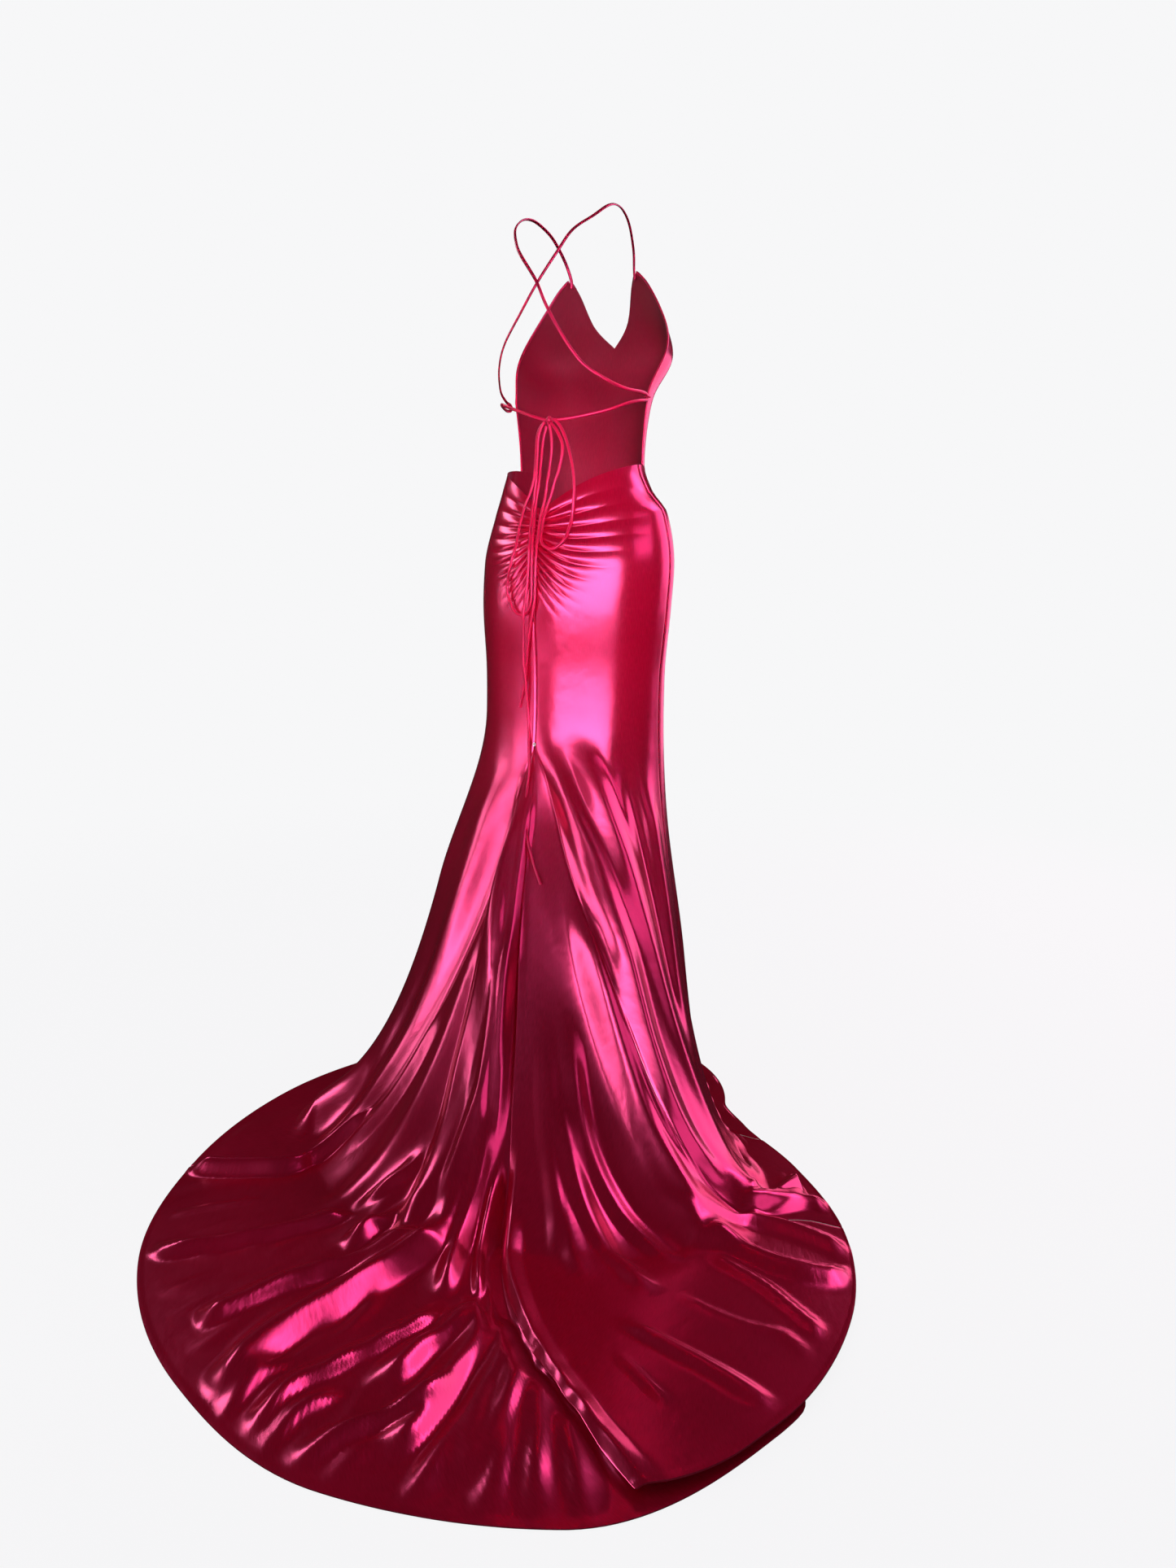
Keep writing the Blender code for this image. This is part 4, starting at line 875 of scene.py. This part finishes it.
def makeBack(name, node, side, settings):
    last = len(ruches["seam"]) - 1
    courses = np.concatenate((
        np.linspace(0, last, last * settings["rucheSteps"] + 1),
        onward(last, last + 1, settings["hipRows"]),
        last + onward(1, 3, settings["flareRows"]),
    ))
    run = np.maximum(courses - last, 0)
    seamName = "rightSeam" if side > 0 else "leftSeam"
    seam = np.where(run < gown["godetTop"], 0.0, smoothTable(run, godetSeams["run"], godetSeams[seamName]))
    inner = seam + side * gapAngle(seam, run)
    outer = side * (gown["sideSeam"] - gapAngle(side * gown["sideSeam"], run))
    share = np.linspace(0, 1, settings["backColumns"] + 1) ** settings["backCrowding"]
    share = np.concatenate((share[:-1], 1 - np.array(settings["sideEdge"])))
    angle = inner[:, None] + (outer - inner)[:, None] * share[None, :]
    if side < 0:
        angle = angle[:, ::-1]
    course = np.broadcast_to(courses[:, None], angle.shape)
    return makePanel(name, node, backSurface(angle, course),
                     settings)


def makeFront(settings):
    runs = np.concatenate((np.linspace(0, 1, settings["frontHipRows"] + 1),
                           onward(1, 3, settings["flareRows"])))
    start = gown["sideSeam"] + gapAngle(gown["sideSeam"], runs)
    end = 360 - gown["sideSeam"] - gapAngle(-gown["sideSeam"], runs)
    share = np.linspace(0, 1, settings["frontColumns"] + 1)
    angle = start[:, None] + (end - start)[:, None] * share[None, :]
    return makePanel("skirtFrontSatin", "skirt_front", skirtSurface(angle, runs[:, None]),
                     settings)


def makeGodet(settings):
    top, floor, hem = settings["godetRuns"]
    runs = np.concatenate((np.linspace(top, floor, settings["godetFlareRows"] + 1),
                           onward(floor, hem, settings["godetTrainRows"])))
    first, hidden = settings["edgeShare"], settings["hiddenShare"]
    edge = np.linspace(0, 1, settings["edgeColumns"] + 1) ** settings["edgeCrowding"] * first
    turnShare, edgeShare = pleatTurns["underTurnShare"], pleatTurns["edgeShare"]
    right = onward(0, 1, settings["godetRightColumns"]) ** settings["rightCrowding"]
    shares = np.concatenate((
        edge,
        onward(first, hidden, settings["godetLeftColumns"]),
        onward(hidden, turnShare, settings["hiddenColumns"]),
        onward(turnShare, edgeShare, settings["pleatColumns"]),
        edgeShare + (1 - first - edgeShare) * right,
        1 - edge[::-1][1:],
    ))
    share, run = np.meshgrid(shares, runs)
    shorter = (settings["layerShorter"] * between(share, *settings["layerShares"])
               + settings["turnShorter"] * between(share, *settings["turnShares"]))
    middle = godetSurface(share, run - shorter * smoothStep(run - 2))
    return makePanel("trainGodetSatin", "train_godet", middle,
                     settings)


def makeBodice(settings):
    angles = np.linspace(gown["bodiceSide"], 360 - gown["bodiceSide"], settings["bodiceColumns"] + 1)
    angle, down = np.meshgrid(angles, np.linspace(0, 1, settings["bodiceRows"] + 1))
    return makePanel("bodiceSatin", "bodice_front", bodiceSurface(angle, down),
                     settings, False)


makeBodice(panels)
makeFront(panels)
makeBack("skirtBackLeftSatin", "skirt_back_left", -1, panels)
makeBack("skirtBackRightSatin", "skirt_back_right", 1, panels)
makeGodet(panels)
print("panels made")


# Bindings, knot, side loops and bead
trim = {
    "binding": (0.0042, 0.0031, 0.02),   # width, thickness, creased share
    "bindingInset": 0.42,     # in widths of the binding
    "bindingStart": 1.2,      # degrees short of the strap
    "armholePoints": 40,
    "sidePoints": 70,
    "nearby": (0.2, 0.01),    # degrees and share of the side over which the cloth's slope is read
    "knotCentre": (-0.0105, 0.0935, 1.1730),
    "knotCore": (0.0052, 0.0036, 0.0044),
    "knotDetail": (32, 18),   # parts round and from top to bottom
    "wrapDetail": (48, 14),   # parts along a ring and round its tube
    "wraps": ((0.0048, 0.0019, 78.0, 12.0), (0.0043, 0.0018, 70.0, -38.0), (0.0040, 0.0017, 96.0, 62.0)),
    "wrapShape": (1.0, 0.86, 1.25),
    "loopCentre": (0.1303, -0.0112, 1.2125),
    "loopRadius": 0.0048,
    "loopThickness": 0.00095,
    "loopDetail": (56, 12),
    "beadRadius": 0.0019,
    "beadThickness": 0.00115,
    "beadDetail": (36, 16),
    "beadOut": 1.2,           # in thicknesses from the cloth
    "beadTilt": 80.0,
    "clothWidth": 0.03,       # metres of cloth over a piece's own UV map
    "beadWidth": 0.01,
}
# Polished acrylic bead: clear and pale, with a small hard sparkle against the satin
beadMaterial, beadTree, beadSurface = newMaterial("polishedAcrylicBead")
fillInputs(beadTree, beadSurface, {
    "Base Color": linear("#EDEDF2"), "Roughness": 0.06, "IOR": 1.49, "Transmission Weight": 0.35})


def makeBinding(side, name, settings):
    armhole = np.linspace(gown["strapAngle"] - settings["bindingStart"], gown["bodiceSide"],
                          settings["armholePoints"])[:-1]
    downs = np.linspace(0, 1, settings["sidePoints"])
    angle = np.concatenate((armhole, np.full(len(downs), gown["bodiceSide"])))
    down = np.concatenate((np.zeros(len(armhole)), downs))
    if side < 0:
        angle = 360 - angle
    edge = bodiceSurface(angle, down)
    turn, step = settings["nearby"]
    outward = unit(np.cross(bodiceSurface(angle + turn, down) - bodiceSurface(angle - turn, down),
                            bodiceSurface(angle, down + step) - bodiceSurface(angle, down - step)))
    if (outward * edge)[:, :2].sum() < 0:
        outward = -outward
    beside = unit(np.cross(np.gradient(edge, axis=0), outward)) * side
    middle = edge + beside * settings["binding"][0] * settings["bindingInset"]
    piece = sweepBand("satinBinding_" + name, middle, outward, *settings["binding"], band)
    standFor(piece, "binding_" + name)


def addRing(radius, thickness, segments, sides):
    bpy.ops.mesh.primitive_torus_add(major_radius=radius, minor_radius=thickness, major_segments=segments,
                                     minor_segments=sides, location=(0, 0, 0))


def startEditing():
    bpy.ops.object.mode_set(mode="EDIT")
    bpy.ops.mesh.select_all(action="SELECT")


def finishEditedPiece(name, node, material, width):  # names a piece made in edit mode, maps its cloth
    bpy.ops.object.mode_set(mode="OBJECT")
    piece = bpy.context.object
    piece.name = piece.data.name = name
    piece.data.materials.append(material)
    layer = piece.data.uv_layers[0]
    layer.name = "weave"
    places = np.zeros(len(layer.data) * 2)
    layer.data.foreach_get("uv", places)
    layer.data.foreach_set("uv", places * width)
    piece.data.shade_smooth()
    return standFor(piece, node)


def makeKnot(settings):
    middle = Vector(settings["knotCentre"]) + floorDrop
    segments, rings = settings["knotDetail"]
    bpy.ops.mesh.primitive_uv_sphere_add(segments=segments, ring_count=rings, radius=1.0, location=(0, 0, 0))
    startEditing()
    bpy.ops.transform.resize(value=settings["knotCore"], center_override=(0, 0, 0))
    bpy.ops.transform.translate(value=middle)
    for radius, thickness, *turns in settings["wraps"]:
        bpy.ops.mesh.select_all(action="DESELECT")
        addRing(radius, thickness, *settings["wrapDetail"])
        bpy.ops.transform.resize(value=settings["wrapShape"], center_override=(0, 0, 0))
        for turn in turns:
            bpy.ops.transform.rotate(value=math.radians(turn), orient_axis="Y", center_override=(0, 0, 0))
        bpy.ops.transform.translate(value=middle)
    return finishEditedPiece("satinKnot", "waist_knot", satinTrim, settings["clothWidth"])


def makeSideLoop(side, name, settings):
    x, y, z = settings["loopCentre"]
    addRing(settings["loopRadius"], settings["loopThickness"], *settings["loopDetail"])
    startEditing()
    bpy.ops.transform.translate(value=Vector((side * x, y, z)) + floorDrop)
    return finishEditedPiece("satinLoop_" + name, "side_loop_" + name, satinTrim,
                             settings["clothWidth"])


def makeBead(settings):
    place = skirtSurface(0.0, gown["godetTop"])
    outward = unit(place * np.array((1.0, 1.0, 0.0)))
    place = Vector(place + outward * settings["beadThickness"] * settings["beadOut"]) + floorDrop
    addRing(settings["beadRadius"], settings["beadThickness"], *settings["beadDetail"])
    startEditing()
    bpy.ops.transform.rotate(value=math.radians(settings["beadTilt"]), orient_axis="X",
                             center_override=(0, 0, 0))
    bpy.ops.transform.translate(value=place)
    return finishEditedPiece("acrylicBead", "seam_bead", beadMaterial, settings["beadWidth"])


bpy.ops.object.select_all(action="DESELECT")
for side, name in ((1, "left"), (-1, "right")):
    makeBinding(-side, name, trim)
    makeSideLoop(side, name, trim)
makeKnot(trim)
makeBead(trim)
print("bindings, knot, loops and bead made")


# Floor, background and light
studio = {
    "page": "#F7F7F8",
    "floor": "#606062",
    "floorHalf": 14.0,
    "fadeStart": 1.3,          # metres from the gown where the floor begins to melt into the page
    "fadeEnd": 3.2,
    "glow": 0.93,              # share of the page's own brightness that the near floor gives
    "room": (0.012, 0.006, 0.008),
    "ceiling": 0.42,           # soft light from above, and the sines of the heights over which it comes up
    "ceilingRise": (-0.1, 0.3),
    "rim": 0.03,               # what the pale walls at eye height add to the gloss
    "rimHigh": 0.30,           # sine of the height at which they have faded
}
# Softboxes: degrees round from the front, metres above the floor, away from the centre line, across and high,
# and watts. Those seen in the gloss leave the cloth's own colour alone.
lights = {
    "wash": {"box": (210.0, 1.15, 3.2, 1.2, 0.4, 4.2), "aim": 0.98, "spread": 24.0, "seenIn": "cloth"},
    "key": {"box": (197.5, 1.1, 6.0, 7.2, 1.9, 520.0)},
    "near": {"box": (152.0, 0.32, 1.35, 0.55, 0.34, 4.6), "aim": 0.3},
    "far": {"box": (137.0, 1.02, 4.0, 1.9, 0.42, 25.0)},
    "low": {"box": (112.0, 1.15, 4.0, 1.0, 0.5, 10.0)},
    "left": {"box": (90.0, 3.0, 3.6, 1.5, 1.1, 38.0)},
    "side": {"box": (262.0, 2.2, 4.0, 2.2, 1.2, 26.0), "colour": "#FFC4F0"},
    "right": {"box": (322.0, 2.3, 4.0, 3.0, 4.2, 160.0), "colour": "#FFC4F0"},
    "high": {"box": (316.0, 3.7, 2.6, 1.8, 1.7, 52.0), "colour": "#FFC4F0"},
    "front": {"box": (356.0, 0.85, 4.0, 2.0, 1.6, 32.0), "colour": "#FF9CC8", "blocked": False},
}


usualAim = 0.1, 0.7   # behind the centre line and above the floor


def makeLight(name, settings):
    bearing, height, away, across, high, power = settings["box"]
    data = bpy.data.lights.new(name + "Light", "AREA")
    data.shape = "RECTANGLE"
    data.size, data.size_y = across, high
    data.energy = power
    data.color = linear(settings.get("colour", "#FFFFFF"))[:3]
    light = bpy.data.objects.new(name + "Light", data)
    bpy.context.collection.objects.link(light)
    turn = math.radians(bearing)
    light.location = (math.sin(turn) * away, -math.cos(turn) * away, height - shoulder)
    aim = Vector((0, usualAim[0], settings.get("aim", usualAim[1]) - shoulder))
    light.rotation_euler = (aim - light.location).to_track_quat("-Z", "Y").to_euler()
    data.spread = math.radians(settings.get("spread", 180.0))   # a narrow spread is a softbox with a grid
    data.use_shadow = settings.get("blocked", True)
    light.visible_camera = False
    inCloth = settings.get("seenIn", "gloss") == "cloth"
    light.visible_diffuse = inCloth
    light.visible_glossy = not inCloth


def makeFloor(settings):
    # Painted studio floor: pale and even, it takes soft shadows near the gown and melts into the page far off
    material, tree, surface = newMaterial("paintedStudioFloor")
    place = addNode(tree, "TexCoord", {}).outputs["Object"]
    flat = addNode(tree, "VectorMath", {0: place, 1: (1, 1, 0)}, operation="MULTIPLY").outputs[0]
    distance = addNode(tree, "VectorMath", {0: flat}, operation="LENGTH").outputs["Value"]
    fade = addNode(tree, "MapRange", {
        "Value": distance, "From Min": settings["fadeStart"], "From Max": settings["fadeEnd"]},
        interpolation_type="SMOOTHSTEP").outputs["Result"]
    colour = linear(settings["page"])
    fillInputs(tree, surface, {
        "Base Color": linear(settings["floor"]), "Roughness": 0.9, "Specular IOR Level": 0.1,
        "Emission Color": colour, "Emission Strength": settings["glow"]})
    page = addNode(tree, "Emission", {"Color": colour, "Strength": 1.0}).outputs[0]
    mixed = addNode(tree, "MixShader", {0: fade, 1: surface.outputs[0], 2: page}).outputs[0]
    tree.links.new(mixed, tree.nodes["Material Output"].inputs["Surface"])
    half = settings["floorHalf"]
    data = bpy.data.meshes.new("studioFloor")
    corners = [(x * half, y * half, -shoulder) for x, y in ((-1, -1), (1, -1), (1, 1), (-1, 1))]
    data.from_pydata(corners, [], [(0, 1, 2, 3)])
    data.materials.append(material)
    floor = bpy.data.objects.new("studioFloor", data)
    bpy.context.collection.objects.link(floor)
    floor.visible_glossy = False
    floor.visible_diffuse = False


def makeWorld(settings):
    world = bpy.data.worlds.new("studioWorld")
    bpy.context.scene.world = world
    world.use_nodes = True
    tree = world.node_tree
    tree.nodes.clear()
    path = addNode(tree, "LightPath", {}).outputs
    way = addNode(tree, "TexCoord", {}).outputs["Generated"]
    high = addNode(tree, "SeparateXYZ", {0: way}).outputs["Z"]
    start, full = settings["ceilingRise"]
    above = addNode(tree, "MapRange", {
        "Value": high, "From Min": start, "From Max": full, "To Min": 0.0, "To Max": settings["ceiling"]},
        interpolation_type="SMOOTHSTEP").outputs["Result"]
    level = addNode(tree, "Math", {0: high}, operation="ABSOLUTE").outputs[0]
    wall = addNode(tree, "MapRange", {
        "Value": level, "From Max": settings["rimHigh"], "To Min": settings["rim"], "To Max": 0.0},
        interpolation_type="SMOOTHSTEP").outputs["Result"]
    colour = linear(settings["page"])
    parts = (settings["room"] + (1,), 1.0), (colour, wall), (colour, above), (colour, 1.0)
    room, walls, sky, page = (
        addNode(tree, "Background", {"Color": tint, "Strength": strength}).outputs[0]
        for tint, strength in parts)
    dark = addNode(tree, "AddShader", {0: room, 1: walls}).outputs[0]
    unseen = addNode(tree, "MixShader", {0: path["Is Diffuse Ray"], 1: dark, 2: sky}).outputs[0]
    mixed = addNode(tree, "MixShader", {0: path["Is Camera Ray"], 1: unseen, 2: page}).outputs[0]
    addNode(tree, "OutputWorld", {"Surface": mixed})


for name, settings in lights.items():
    makeLight(name, settings)
makeFloor(studio)
makeWorld(studio)
bpy.context.scene.view_settings.view_transform = "Standard"
print("studio ready")
